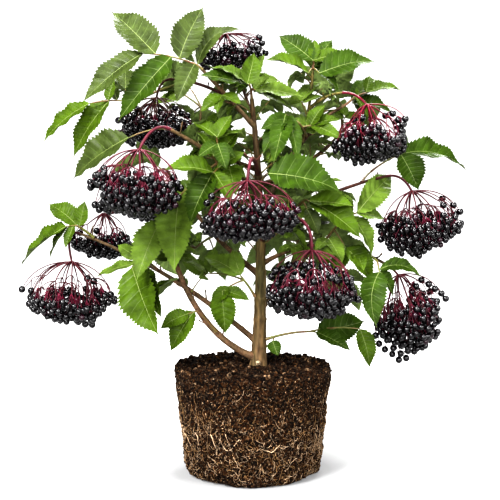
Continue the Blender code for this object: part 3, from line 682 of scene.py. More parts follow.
SPRAYS = (
    Spray("leaves_top_left", "upper_left", 1, (-62, -18, 447), (
        ((-116, -28, 457), ((1, 218, 82), (0.8, 137, 66), (0.36, 63, 60), (0.04, 42, 66), (0.12, 248, 45),
                            (0.6, 231, 88))),)),
    Spray("leaves_left_high", "fruit_twig_left", 0.75, (-136, 62, 410), (
        ((-184, 46, 409), ((1, 217, 72), (0.6, 234, 78), (0.66, 75, 24), (0.5, 112, 20))),
        ((-150, 92, 428), fan(150, 1, 56))), LEFT),
    Spray("leaves_left_mid", "mid_left", 0.93, (-98, -28, 378), (
        ((-132, -30, 368), ((1, 209, 78),)),), LEFT),
    Spray("leaves_far_left", "left_arch", 0.93, (-190, -22, 274), (
        ((-200, -27, 273), ((1, 216, 72), (1, 236, 42), (0.6, 257, 24), (0.4, 143, 42),
                            (0.3, 75, 28))),), LEFT),
    Spray("leaves_left_under", "left_arch", 0.58, (-122, -22, 240), (
        ((-130, -24, 229), ((1, 296, 72), (0.8, 199, 47), (0.4, 150, 30))),
        ((-112, -20, 226), ((1, 291, 50), (0.9, 258, 24)))), LEFT),
    Spray("leaves_hanging_left", "mid_left", 0.45, (-64, -8, 320), (
        ((-98, -38, 280), ((1, 250, 64), (0.5, 268, 76), (0.25, 232, 34))),)),
    Spray("leaves_low_left", "left_stem", 0.36, (-61, -18, 181), (
        ((-70, -21, 178), ((1, 202, 34), (0.4, 236, 50))),)),
    Spray("leaves_inner_left", "mid_left", 0.3, (-36, -34, 336), (
        ((-42, -50, 330), ((1, 243, 58), (1, 172, 52), (1, 300, 36), (0.5, 30, 34))),
        ((-43, -44, 349), ((1, 166, 54), (0.6, 50, 46), (1, 72, 34), (1, 122, 34))),
        ((-38, -46, 368), ((1, 150, 32), (1, 58, 30), (1, 20, 26))),
        ((-62, 8, 314), ((1, 240, 36), (1, 190, 36))))),
    Spray("leaves_trunk_left", "trunk", 0.26, (-10, -8, 214), (
        ((-14, -9, 219), ((1, 153, 46), (1, 110, 30))),
        ((-33, -14, 202), ((1, 272, 46), (1, 340, 30), (0.8, 231, 30))),
        ((-50, 20, 218), ((1, 150, 34), (1, 250, 32), (1, 84, 30))))),
    Spray("leaves_crown_top", "trunk", 1, (-2, 2, 422), (
        ((-6, -24, 425), ((1, 75, 36), (1, 154, 44), (1, 170, 52), (1, 226, 18))),
        ((3, -4, 420), ((1, 354, 52), (1, 334, 38), (1, 44, 24))),
        ((-4, 20, 430), fan(60, 1, 38)))),
    Spray("leaves_top_right", "right_upright", 1, (67, 11, 450), (
        ((66, 8, 453), ((1, 141, 48), (1, 12, 38), (1, 84, 34))),
        ((72, -4, 438), ((1, 14, 64), (1, 318, 30))),
        ((60, -4, 438), ((1, 164, 50), (1, 200, 34))),
        ((68, 34, 444), fan(60, 1, 44)))),
    Spray("leaves_right_top", "right_main", 1, (112, 16, 414), (
        ((126, 14, 419), ((1, 8, 42), (1, 76, 22), (0.4, 36, 24), (0.4, 300, 28))),
        ((112, 34, 408), fan(350, 1, 48))), RIGHT),
    Spray("leaves_inner_right", "right_main", 0.6, (50, -12, 384), (
        ((35, -16, 393), ((1, 259, 54), (1, 238, 50), (1, 284, 48), (1, 208, 34))),
        ((66, -4, 382), ((1, 14, 30), (1, 332, 34), (1, 60, 28))))),
    Spray("leaves_front_right", "trunk", 0.67, (12, -26, 326), (
        ((16, -46, 330), ((1, 349, 80),)),)),
    Spray("leaves_right_inner", "right_mid", 0.3, (56, -30, 302), (
        ((60, -42, 300), ((1, 323, 66), (1, 352, 48))),
        ((58, -26, 292), ((1, 296, 30), (1, 20, 30))))),
    Spray("leaves_right_leafy", "right_low", 0.5, (98, -18, 280), (
        ((112, -26, 288), ((1, 37, 56), (1, 350, 34), (0.8, 128, 36))),
        ((106, -24, 284), ((1, 302, 48),)),
        ((100, -22, 250), ((1, 307, 48), (1, 250, 34), (1, 210, 34)))), RIGHT),
    Spray("leaves_far_right", "right_mid", 0.82, (132, 24, 332), (
        ((164, 18, 351), ((1, 295, 44), (1, 348, 92), (0.8, 60, 34))),), RIGHT),
    Spray("leaves_right_under", "right_low", 0.84, (134, -30, 236), (
        ((134, -46, 226), ((1, 262, 56), (1, 304, 32), (1, 350, 48))),), RIGHT),
    Spray("leaves_low_right", "trunk", 0.1, (64, -16, 158), (
        ((70, -18, 157), ((1, 8, 55), (1, 336, 40))),
        ((116, -24, 162), ((1, 287, 42),)),
        ((22, -16, 148), ((1, 285, 24),)))),
    Spray("leaves_back_left", "back_left", 0.8, (-96, 84, 322), (
        ((-128, 152, 344), fan(200, 2, 50)), ((-70, 150, 330), fan(20, 1, 46))), LEFT_BACK),
    Spray("leaves_back_high", "back_high", 0.6, (-60, 84, 408), (
        ((-78, 112, 436), fan(140, 1, 42)), ((-126, 118, 444), fan(200, 2, 50)),
        ((-76, 140, 396), fan(290, 1, 46))), LEFT_BACK),
    Spray("leaves_back_right", "back_right", 0.8, (104, 94, 406), (
        ((84, 108, 432), fan(85, 2, 46)), ((62, 138, 396), fan(200, 1, 48)),
        ((126, 158, 384), fan(350, 1, 46))), RIGHT_BACK),
    Spray("leaves_back_mid", "back_mid", 0.7, (8, 86, 316), (
        ((-50, 116, 310), fan(195, 2, 48)), ((46, 126, 318), fan(15, 2, 50)),
        ((40, 158, 276), fan(300, 1, 46))), BACK),
    Spray("leaves_back_low", "back_low", 0.75, (54, 98, 250), (
        ((98, 126, 246), fan(345, 2, 50)), ((24, 134, 244), fan(225, 2, 44)),
        ((106, 112, 200), fan(300, 1, 46))), RIGHT_BACK),
    Spray("leaves_back_inner", "back_left", 0.45, (-66, 50, 244), (
        ((-118, 74, 242), fan(245, 1, 46)), ((-46, 92, 238), fan(290, 1, 42)),
        ((-88, 112, 244), fan(275, 1, 44))), LEFT_BACK),
)


def on_twig(twig, share):
    """A point on a twig's curve."""
    rest = 1 - share
    return twig.start * rest ** 2 + twig.control * (2 * share * rest) + twig.end * share ** 2


def along_twig(twig, share):
    """The curve's unit direction at that point."""
    return ((twig.control - twig.start) * (1 - share) + (twig.end - twig.control) * share).normalized()


def limb_twigs():
    """Each limb's curve, by name. A limb starts on its parent's axis."""
    twigs = {}
    for limb in LIMBS:
        start = TRUNK_FOOT if not limb.parent else on_twig(twigs[limb.parent], limb.at)
        tip = Vector(limb.tip)
        control = (start + tip) / 2 + Vector(limb.bend)
        twigs[limb.name] = Twig(start.copy(), control, tip, limb.thick, limb.thin)
    return twigs


def radius_at(twig, share):
    return twig.thick + (twig.thin - twig.thick) * share


def across(direction, towards):
    """The part of a vector that is square to a direction, as a unit vector."""
    return (towards - direction * towards.dot(direction)).normalized()


def side_start(limb, at, reach):
    """Where a stem leaves the limb's surface, or its tip, with a gap."""
    middle, heading = on_twig(limb, at), along_twig(limb, at)
    if at >= 1:
        return middle + heading * GAP
    return middle + across(heading, reach - middle) * (radius_at(limb, at) + GAP)


def seen_way(degrees, face):
    """The way that a blade runs: at that angle as seen from the front, and square to its face."""
    turn = math.radians(degrees)
    depth = -(math.cos(turn) * face.x + math.sin(turn) * face.z) / face.y
    return Vector((math.cos(turn), max(-STEEPEST, min(STEEPEST, depth)), math.sin(turn)))


def compound_leaf(rng, start, knee, blades, face):
    """A leaf's stalk, and its blades with their seeded tilt, width and arch."""
    knee = Vector(knee)
    control = (start + knee) / 2 + UP * (knee - start).length * STALK_RISE
    stalk = Twig(start, control, knee, STALK_RADIUS, STALK_RADIUS * END_TAPER)
    leaflets = []
    for number, (share, degrees, length) in enumerate(blades):
        tilted = (face + Vector([rng.uniform(-LEAF_TILT, LEAF_TILT) for _ in range(3)])).normalized()
        foot = on_twig(stalk, share - LEAFLET_STEP * number / max((knee - start).length, SHORTEST_STALK))
        tip = foot + seen_way(degrees, tilted) * length
        width = length * rng.uniform(*LEAF_WIDTH)
        leaflets.append(Leaflet(foot, tip, tilted, width, rng.uniform(*LEAF_ARCH)))
    return stalk, leaflets


def nearest_place(stem, knee):
    """The share of a stem's length that lies nearest to a leaf's knee, away from the stem's ends."""
    return min(STALK_PLACES, key=lambda share: (on_twig(stem, share) - knee).length)


def grow(spray, limbs):
    """A spray's stem, and its compound leaves in turn."""
    rng = random.Random(spray.name)
    limb = limbs[spray.limb]
    reach = Vector(spray.reach)
    start = side_start(limb, spray.at, reach)
    if spray.at >= 1:
        control = start + along_twig(limb, 1) * (reach - start).length / 2
    else:
        control = (start + reach) / 2 + UP * (reach - start).length * STEM_RISE
    stem = Twig(start, control, reach, STEM_RADIUS, STEM_RADIUS * END_TAPER)
    face = Vector(spray.face).normalized()
    leaves = []
    for knee, blades in spray.leaves:
        place = nearest_place(stem, Vector(knee))
        leaves.append(compound_leaf(rng, on_twig(stem, place), knee, blades, face))
    return stem, leaves


def umbel_axis(umbel):
    return Vector((*umbel.lean, -1)).normalized()


def umbel_stalk(umbel, limbs):
    """The stalk goes on from the limb's tip and turns down through the hub, where the rays leave it."""
    limb = limbs[umbel.limb]
    heading = along_twig(limb, 1)
    start = limb.end + heading * GAP
    end = Vector(umbel.hub) + umbel_axis(umbel) * HUB_DEPTH
    control = start + heading * (end - start).length * STALK_REACH
    return Twig(start, control, end, limb.thin, limb.thin)


def umbel_middle(umbel):
    return Vector(umbel.hub) + umbel_axis(umbel) * umbel.drop


def seeded(name):
    """A numpy generator that gives the same numbers for the same name."""
    return np.random.default_rng([ord(letter) for letter in name])


class Shapes:
    """Points and faces gathered for one piece, in millimetres, each face with a material's number."""

    def __init__(self):
        self.points = []
        self.faces = []
        self.slots = []
        self.count = 0

    def add(self, points, faces, slot=0):
        """Adds points (n, 3) and faces (m, 3 or 4). The slot is one number, or one for each face."""
        faces = np.asarray(faces)
        self.points.append(np.asarray(points, float).reshape(-1, 3))
        self.faces.append(faces + self.count)
        self.slots.append(np.broadcast_to(slot, len(faces)))
        self.count += len(self.points[-1])

    def make(self, name, materials, smooth=True):
        """The mesh object, linked to the scene and riding on the plant's one body."""
        sizes = np.concatenate([np.full(len(faces), faces.shape[1]) for faces in self.faces])
        corners = np.concatenate([faces.ravel() for faces in self.faces])
        mesh = bpy.data.meshes.new(name)
        mesh.vertices.add(self.count)
        mesh.vertices.foreach_set("co", (np.concatenate(self.points) * MM).ravel())
        mesh.loops.add(len(corners))
        mesh.loops.foreach_set("vertex_index", corners)
        mesh.polygons.add(len(sizes))
        mesh.polygons.foreach_set("loop_start", np.concatenate(([0], np.cumsum(sizes)[:-1])))
        mesh.polygons.foreach_set("loop_total", sizes)
        mesh.polygons.foreach_set("material_index", np.concatenate(self.slots))
        mesh.update(calc_edges=True)
        mesh.validate()
        if smooth:
            mesh.shade_smooth()
        for material in materials:
            mesh.materials.append(material)
        thing = bpy.data.objects.new(name, mesh)
        bpy.context.scene.collection.objects.link(thing)
        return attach(thing, "root")


def unit(vectors):
    return vectors / np.maximum(np.linalg.norm(vectors, axis=-1, keepdims=True), 1e-9)


def hill(distance, length):
    """A smooth rise of 1 that falls off over that length."""
    return np.exp(-(distance / length) ** 2)


def curves(starts, controls, ends, steps):
    """Quadratic curves, each as steps + 1 points: (n, steps + 1, 3)."""
    share = np.linspace(0, 1, steps + 1)[None, :, None]
    rest = 1 - share
    starts, controls, ends = (np.asarray(p, float).reshape(-1, 1, 3) for p in (starts, controls, ends))
    return starts * rest ** 2 + controls * 2 * share * rest + ends * share ** 2


def twig_path(twig, steps):
    return curves([twig.start], [twig.control], [twig.end], steps)[0]


def spokes(side, other, sides):
    """Unit arms round a point, from two directions that are square to each other."""
    turn = np.arange(sides) * math.tau / sides
    return side * np.cos(turn)[:, None] + other * np.sin(turn)[:, None]


def tubes(paths, radii, sides, upright=None):
    """Tubes along paths (n, steps, 3) with radii (n, steps): their points and four-sided faces.

    The upright, where given, is the direction at each point that the rings are turned to.
    """
    paths = np.asarray(paths, float)
    count, steps, _ = paths.shape
    heading = unit(np.gradient(paths, axis=1))
    if upright is None:
        least = np.argmin(np.abs(unit(paths[:, -1] - paths[:, 0])), axis=1)
        upright = np.eye(3)[least][:, None, :]
    side = unit(np.cross(heading, upright))
    arms = spokes(side[:, :, None], np.cross(heading, side)[:, :, None], sides)
    radii = np.broadcast_to(radii, (count, steps))[:, :, None, None]
    return (paths[:, :, None] + arms * radii).reshape(-1, 3), grid_faces(count, steps, sides)


def grid_faces(count, rows, columns):
    """The faces of closed bands: each of count bands has rows of columns points."""
    first = np.arange(count)[:, None, None] * rows * columns
    row = np.arange(rows - 1)[None, :, None] * columns
    column = np.arange(columns)[None, None, :]
    near = first + row + column
    far = first + row + (column + 1) % columns
    return np.stack((near, far, far + columns, near + columns), -1).reshape(-1, 4)


def sheet_faces(rows, columns):
    """The faces of an open sheet of rows by columns points."""
    corner = np.arange(rows - 1)[:, None] * columns + np.arange(columns - 1)
    return np.stack((corner, corner + 1, corner + 1 + columns, corner + columns), -1).reshape(-1, 4)


def eased(share):
    return share * share * (3 - 2 * share)


def ripple(rng, rows, columns, coarse_rows, coarse_columns):
    """Smooth noise from -1 to 1 over rows by columns points, which closes on itself across the columns."""
    coarse = rng.uniform(-1, 1, (coarse_rows + 1, coarse_columns))
    place = np.arange(columns) * coarse_columns / columns
    left = place.astype(int)
    blend = eased(place - left)
    wide = coarse[:, left] * (1 - blend) + coarse[:, (left + 1) % coarse_columns] * blend
    place = np.linspace(0, coarse_rows, rows)
    low = np.minimum(place.astype(int), coarse_rows - 1)
    blend = eased(place - low)[:, None]
    return wide[low] * (1 - blend) + wide[low + 1] * blend


def ripples(rng, rows, columns, layers):
    """Layers of smooth noise, each with its waves down and across, and its depth."""
    return sum(ripple(rng, rows, columns, down, over) * depth for down, over, depth in layers)


def scaled(colour, share):
    return tuple(min(1.0, channel * share) for channel in colour)


def set_span(span, numbers):
    """Sets a Map Range node's two ranges: from low, from high, to low, to high."""
    for socket, number in zip(("From Min", "From Max", "To Min", "To Max"), numbers):
        span.inputs[socket].default_value = number


class Finish:
    """A material under construction: a principled shader and the nodes that drive it."""

    def __init__(self, name, colour, roughness):
        self.material = bpy.data.materials.new(name)
        self.material.use_nodes = True
        self.nodes = self.material.node_tree.nodes
        self.links = self.material.node_tree.links
        self.base = colour
        self.shader = self.nodes["Principled BSDF"]
        self.shader.inputs["Base Color"].default_value = (*colour, 1)
        self.shader.inputs["Roughness"].default_value = roughness
        self.place = self.nodes.new("ShaderNodeTexCoord").outputs["Object"]

    def set(self, **values):
        """Sets the shader's own sockets, such as set(Coat_Weight=0.5)."""
        for name, value in values.items():
            self.shader.inputs[name.replace("_", " ")].default_value = value
        return self

    def noise(self, size, detail=3.0, stretch=(1, 1, 1)):
        """Noise whose features are about that size, in millimetres, divided by the stretch on each axis."""
        mapping = self.nodes.new("ShaderNodeMapping")
        mapping.inputs["Scale"].default_value = stretch
        self.links.new(self.place, mapping.inputs["Vector"])
        noise = self.nodes.new("ShaderNodeTexNoise")
        noise.inputs["Scale"].default_value = 1 / (size * MM)
        noise.inputs["Detail"].default_value = detail
        self.links.new(mapping.outputs["Vector"], noise.inputs["Vector"])
        return noise.outputs["Fac"]

    def ramp(self, factor, *stops):
        """Colours along a factor: each stop is a position and a colour."""
        ramp = self.nodes.new("ShaderNodeValToRGB")
        elements = ramp.color_ramp.elements
        for index, (position, colour) in enumerate(stops):
            element = elements[index] if index < 2 else elements.new(position)
            element.position = position
            element.color = (*colour, 1)
        self.links.new(factor, ramp.inputs["Fac"])
        return ramp.outputs["Color"]

    def shades(self, factor, *stops):
        """The base colour, darker or lighter along a factor: each stop is a position and a share."""
        return self.ramp(factor, *((position, scaled(self.base, share)) for position, share in stops))

    def height(self):
        """The height above the floor, in metres."""
        split = self.nodes.new("ShaderNodeSeparateXYZ")
        self.links.new(self.place, split.inputs["Vector"])
        return split.outputs["Z"]

    def distance(self):
        """The distance from the piece's own origin, in metres."""
        length = self.nodes.new("ShaderNodeVectorMath")
        length.operation = "LENGTH"
        self.links.new(self.place, length.inputs[0])
        return length.outputs["Value"]

    def span(self, value, low, high, new_low=0.0, new_high=1.0):
        """The value stretched from one range to another."""
        span = self.nodes.new("ShaderNodeMapRange")
        set_span(span, (low, high, new_low, new_high))
        self.links.new(value, span.inputs["Value"])
        return span.outputs["Result"]

    def mix(self, factor, first, second, blend="MIX"):
        """Two colours mixed. Each is a socket or a colour, and the factor a socket or a number."""
        mix = self.nodes.new("ShaderNodeMix")
        mix.data_type = "RGBA"
        mix.blend_type = blend
        for socket, value in ((mix.inputs[0], factor), (mix.inputs[6], first), (mix.inputs[7], second)):
            if isinstance(value, bpy.types.NodeSocket):
                self.links.new(value, socket)
            else:
                socket.default_value = value if isinstance(value, float) else (*value, 1)
        return mix.outputs[2]

    def colour(self, socket):
        self.links.new(socket, self.shader.inputs["Base Color"])
        return self

    def rough(self, factor, low, high):
        self.links.new(self.span(factor, 0.3, 0.7, low, high), self.shader.inputs["Roughness"])
        return self

    def bump(self, factor, depth, strength=1.0):
        """A relief of that depth in millimetres."""
        bump = self.nodes.new("ShaderNodeBump")
        bump.inputs["Strength"].default_value = strength
        bump.inputs["Distance"].default_value = depth * MM
        self.links.new(factor, bump.inputs["Height"])
        self.links.new(bump.outputs["Normal"], self.shader.inputs["Normal"])
        return self

    def done(self, gloss=None):
        """The finished material, with the shader's specular level where one is given."""
        if gloss is not None:
            self.set(Specular_IOR_Level=gloss)
        return self.material


# Root ball
def ball_radius(height):
    """The ball's radius at a height, rounded at its foot and its rim."""
    foot, top = BALL_EDGE, BALL_HEIGHT - BALL_EDGE
    heights = (0, foot * 0.3, foot, top, BALL_HEIGHT - foot * 0.3, BALL_HEIGHT)
    radii = (BALL_FOOT_RADIUS - BALL_EDGE, BALL_FOOT_RADIUS - 1.4, BALL_FOOT_RADIUS,
             BALL_TOP_RADIUS, BALL_TOP_RADIUS - 0.3, BALL_TOP_RADIUS - BALL_EDGE / 2)
    return np.interp(height, heights, radii)


def round_axis(reach, turn, height):
    """Points at those distances from the ball's axis, turns round it and heights."""
    return np.stack(np.broadcast_arrays(reach * np.cos(turn), reach * np.sin(turn), height), -1)


class Wall:
    """The ball's lumpy side, as a grid of heights by turns."""

    def __init__(self, rough):
        rng = seeded("wall")
        size = BALL_ROWS, BALL_COLUMNS
        self.height = np.linspace(0, BALL_HEIGHT, BALL_ROWS)
        lumps = ripples(rng, *size, SIDE_LAYERS) + rng.uniform(-SIDE_GRAIN, SIDE_GRAIN, size)
        worn = np.clip(ripple(rng, 2, BALL_COLUMNS, 1, WORN_PATCHES)[0] + WORN_SHARE, 0, 1) * FOOT_WEAR
        worn = worn * np.clip(1 - self.height / FOOT_WEAR_HEIGHT, 0, 1)[:, None] ** FOOT_WEAR_FADE
        self.reach = ball_radius(self.height)[:, None] + lumps * rough - worn - BALL_INSET

    def surface(self, turn, height, lift):
        """Points on the wall at those turns and heights, raised by the lift."""
        row = np.clip(height / BALL_HEIGHT * (BALL_ROWS - 1), 0, BALL_ROWS - 1).round().astype(int)
        column = (turn / math.tau * BALL_COLUMNS).round().astype(int) % BALL_COLUMNS
        return round_axis(self.reach[row, column] + lift, turn, height)

    def grid(self):
        turn = np.arange(BALL_COLUMNS) * math.tau / BALL_COLUMNS
        return round_axis(self.reach, turn, self.height[:, None])


def soil_top(rng, wall, rough):
    """The crumbly top of the ball, from its rim to its middle."""
    share = np.linspace(1, 0.02, BALL_TOP_ROWS)
    size = BALL_TOP_ROWS, BALL_COLUMNS
    lumps = ripples(rng, *size, TOP_LAYERS) + rng.uniform(-TOP_GRAIN, TOP_GRAIN, size)
    lumps[0] = 0
    points = wall.grid()[-1][None] * share[:, None, None]
    points[..., 2] = BALL_HEIGHT + lumps * rough * np.minimum(1, share * 3)[:, None]
    return points


def make_soil(rng, wall, rough, soil):
    """The ball's side, its top and its flat underside, in one piece."""
    ball = Shapes()
    grid = wall.grid()
    ball.add(grid, grid_faces(1, BALL_ROWS, BALL_COLUMNS))
    ball.add(soil_top(rng, wall, rough), grid_faces(1, BALL_TOP_ROWS, BALL_COLUMNS))
    under = grid[0][None] * np.linspace(1, 0.01, UNDER_ROWS)[:, None, None]
    ball.add(under, grid_faces(1, UNDER_ROWS, BALL_COLUMNS)[:, ::-1])
    piece = ball.make("root_ball_soil", [soil])
    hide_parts("root_ball")


def crumbs(rng, places, sizes):
    """Small irregular lumps with twenty faces at those places, of a least to a most size."""
    golden = (1 + math.sqrt(5)) / 2
    corners = np.array([(0, i, j * golden) for i in (-1, 1) for j in (-1, 1)])
    corners = np.concatenate([np.roll(corners, turn, axis=1) for turn in range(3)]) / math.hypot(1, golden)
    gaps = np.linalg.norm(corners[:, None] - corners, axis=2)
    faces = [(a, b, c) for a in range(CRUMB_CORNERS) for b in range(a + 1, CRUMB_CORNERS)
             for c in range(b + 1, CRUMB_CORNERS) if max(gaps[a, b], gaps[b, c], gaps[c, a]) < NEIGHBOURS]
    faces = np.array([face if np.linalg.det(corners[list(face)]) > 0 else face[::-1] for face in faces])
    count = len(places)
    sizes = rng.uniform(*sizes, count)
    ragged, flat = CRUMB_STRETCH
    stretch = rng.uniform(*ragged, (count, CRUMB_CORNERS, 1)) * rng.uniform(*flat, (count, 1, 3))
    points = places[:, None] + corners[None] * stretch * sizes[:, None, None]
    return points, (faces[None] + np.arange(count)[:, None, None] * CRUMB_CORNERS).reshape(-1, 3)


def wall_crumbs(rng, wall, count, kind):
    """Crumbs of one kind, scattered over the ball's side."""
    turn = rng.uniform(0, math.tau, count)
    return crumbs(rng, wall.surface(turn, rng.uniform(*kind.heights, count), kind.lift), kind.sizes)


def make_crumbs(rng, wall, looks, soil):
    """The loose crumbs on the ball's top, rim and side, in one piece."""
    loose = Shapes()
    count = looks.crumbs
    turn = rng.uniform(0, math.tau, count)
    reach = (BALL_TOP_RADIUS - TOP_CRUMB_MARGIN) * np.sqrt(rng.uniform(0.02, 1, count))
    points, faces = crumbs(rng, round_axis(reach, turn, BALL_HEIGHT + TOP_CRUMB_LIFT), TOP_CRUMB)
    loose.add(points, faces, rng.choice(len(TOP_MIX), (count, 1), p=TOP_MIX).repeat(CRUMB_FACES))
    points, faces = wall_crumbs(rng, wall, count // 2, RIM_CRUMBS)
    loose.add(points, faces, rng.choice(len(TOP_MIX), (count // 2, 1), p=TOP_MIX).repeat(CRUMB_FACES))
    for tint in range(len(CRUMB_TINTS)):
        loose.add(*wall_crumbs(rng, wall, looks.grit, GRIT), tint + 1)
    points, faces = wall_crumbs(rng, wall, LUMP_COUNT, LUMPS)
    loose.add(points, faces, rng.integers(0, len(CRUMB_TINTS), (LUMP_COUNT, 1)).repeat(CRUMB_FACES))
    tints = [peat("crumb_" + name, colour) for name, colour in CRUMB_TINTS.items()]
    piece = loose.make("root_ball_crumbs", [soil, *tints], smooth=False)


def root_walks(rng, wall, count, kind):
    """Paths that wander over the wall. A steepness of 1 would keep them upright."""
    turn = rng.uniform(0, math.tau, count)
    turn = turn - kind.aside * np.sin(2 * turn)
    height = rng.uniform(*kind.heights, count)
    way = rng.normal(0, 1, count) * (1 - kind.steep) * ROOT_SPREAD
    length = kind.step * rng.uniform(*ROOT_STEP_SHARES, count)
    lift = rng.uniform(*ROOT_LIFT, count)
    path = []
    for step in range(kind.steps + 1):
        path.append(wall.surface(turn, height, lift - ROOT_END_SINK * (step in (0, kind.steps))))
        way = way + rng.normal(0, kind.wander, count)
        height = np.clip(height - np.cos(way) * length, *ROOT_HEIGHTS)
        turn = turn + np.sin(way) * length / BALL_TOP_RADIUS
    return np.stack(path, 1)


def make_roots(rng, wall, looks):
    """The net of fine roots over the ball's side, in one piece."""
    roots = Shapes()
    colours = {"pale": tuple(looks.root), "golden": GOLDEN_ROOT, "brown": BROWN_ROOT}
    for kind in ROOT_NET:
        count = int(looks.fibres * kind.share)
        paths = root_walks(rng, wall, count, kind)
        radii = rng.uniform(*kind.radii, count)[:, None] * np.linspace(*ROOT_TAPER, kind.steps + 1)
        slots = rng.choice(len(colours), count, p=kind.tints)
        sides = 3 if max(kind.radii) < STOUT_ROOT else 5
        for slot in np.unique(slots):
            path = paths[slots == slot]
            roots.add(*tubes(path, radii[slots == slot], sides, unit(path * (1, 1, 0))), slot)
    fibres = [fibre("root_" + name, colour) for name, colour in colours.items()]
    piece = roots.make("root_ball_roots", fibres)


def make_root_ball(looks):
    """The soil, its crumbs, and the net of fine roots over its side."""
    rng = seeded("root_ball")
    wall = Wall(looks.roughness)
    soil = peat("peat", tuple(looks.soil))
    make_soil(rng, wall, looks.roughness, soil)
    make_crumbs(rng, wall, looks, soil)
    make_roots(rng, wall, looks)


def peat(name, colour):
    """Dark crumbly peat with brown fibre in it. Its grain sets both its colour and its bump, so it is darker
    in the hollows and lighter on the tops: partly the peat's own dark and pale crumbs, partly painted shade
    and painted light.
    """
    finish = Finish(name, colour, 0.95)
    grain = finish.noise(3.0, 5)
    specks = finish.noise(1.7, 2)
    # Darker where the grain's bump is low and lighter where it is high: partly own tone, partly painted shade
    # and painted light
    ground = finish.shades(grain, (0.4, 0.12), (0.5, 1), (0.62, 3.6))
    finish.colour(finish.mix(finish.span(specks, 0.58, 0.68), ground, SPECK_COLOUR))
    return finish.rough(grain, 0.85, 1.0).bump(grain, 1.6, 1.0).done(gloss=0.05)


def fibre(name, colour):
    """A fine root."""
    finish = Finish(name, colour, 0.7)
    patches = finish.noise(3.0, 2)
    finish.colour(finish.shades(patches, (0.32, 0.5), (0.66, 1.25)))
    return finish.rough(patches, 0.6, 0.85).bump(finish.noise(0.6), 0.1).done(gloss=0.15)


# Bark
def bark(name, colour, streaks=(1, 1, 1), rise=None):
    """Young bark: streaked and flecked. The rise, where given, is its colours from foot to top."""
    finish = Finish(name, colour, 0.75)
    grain = finish.noise(2.6, 5, streaks)
    patches = finish.noise(11, 3, streaks)
    ground = colour
    if rise:
        height = finish.span(finish.height(), *(place * MM for place in TRUNK_COLOUR_SPAN))
        ground = finish.ramp(height, *zip(TRUNK_COLOUR_PLACES, rise))
    shade = finish.ramp(grain, (0.3, (0.46, 0.42, 0.4)), (0.5, (0.98, 0.96, 0.93)),
                        (0.7, (1.55, 1.48, 1.38)))
    tone = finish.ramp(patches, (0.35, (0.66, 0.74, 0.62)), (0.65, (1.25, 1.14, 1.04)))
    finish.colour(finish.mix(1.0, finish.mix(1.0, ground, shade, "MULTIPLY"), tone, "MULTIPLY"))
    return finish.rough(grain, 0.85, 0.6).bump(grain, 0.35, 0.8).done(gloss=0.1)


def limb_relief(rng, along, radius, turn, looks):
    """How far each point of a limb's bark stands out: ridges, a knob and a scar at each joint, and pores."""
    rows, sides = len(along), len(turn)
    layers = ((max(2, rows // 22), 5, 0.5), (max(2, rows // 9), sides // 3, 0.3),
              (max(3, rows // 3), sides // 2, 0.16))
    relief = ripples(rng, rows, sides, layers)
    relief *= looks.relief * (radius / 6).clip(0.3, 1)[:, None]
    length = along[-1]
    place = rng.uniform(*FIRST_JOINT)
    while place < length - LAST_JOINT:
        knob = hill(along - place, KNOB[0]) * KNOB[1] - hill(along - place - SCAR_PLACE, SCAR[0]) * SCAR[1]
        relief += knob[:, None] * radius[:, None] * (1 + 0.5 * np.cos(turn - rng.uniform(0, math.tau)))
        place += rng.uniform(*looks.joint_spacing)
    for _ in range(int(length * radius.mean() * looks.pores)):
        near, way = rng.uniform(0, length), rng.uniform(0, math.tau)
        gap = (np.abs(turn - way) + math.pi) % math.tau - math.pi
        pore = PORE_HEIGHT * hill(along - near, rng.uniform(*PORE_LENGTH))[:, None]
        relief += pore * hill(gap * radius[:, None], PORE_WIDTH)
    return relief


def limb_skin(limb, twig, looks):
    """A limb's bark: the path along its middle, rounded off at the tip, and its radii at each ring."""
    whole = not limb.parent
    length = np.linalg.norm(np.diff(twig_path(twig, 8), axis=0), axis=1).sum()
    rows = int(length / (TRUNK_STEP if whole else BOUGH_STEP)) + 2
    sides = looks.trunk_sides if whole else looks.bough_sides
    path = twig_path(twig, rows - 1)
    share = np.linspace(0, 1, rows)
    along = share * length
    radius = radius_at(twig, share)
    if whole:
        radius = radius + TRUNK_FLARE * np.exp(-along / TRUNK_FLARE_HEIGHT)
    else:
        swell = COLLAR_SWELL * np.exp(-np.maximum(0, along - COLLAR_DEPTH) / (twig.thick * COLLAR_FADE))
        radius = radius * LIMB_SLIM.get(limb.name, USUAL_SLIM) * (1 + swell)
    turn = np.arange(sides) * math.tau / sides
    relief = limb_relief(seeded(limb.name), along, radius, turn, looks)
    end = path[-1] + unit(path[-1] - path[-2]) * np.array([[0.9], [1.3]])
    ring = np.concatenate((radius[:, None] + relief, radius[-1] * np.array([[0.7], [0.05]]) * np.ones(sides)))
    return np.concatenate((path, end)), ring


def skin(path, ring):
    """Rings of points round a path, kept from twisting, and their faces."""
    heading = unit(np.gradient(path, axis=0))
    side = np.empty_like(path)
    last = np.array((0.31, 0.87, 0.12))
    for row, way in enumerate(heading):
        last = last - way * last.dot(way)
        last /= np.linalg.norm(last)
        side[row] = last
    arms = spokes(side[:, None], np.cross(heading, side)[:, None], ring.shape[1])
    return path[:, None] + arms * ring[..., None], grid_faces(1, *ring.shape)


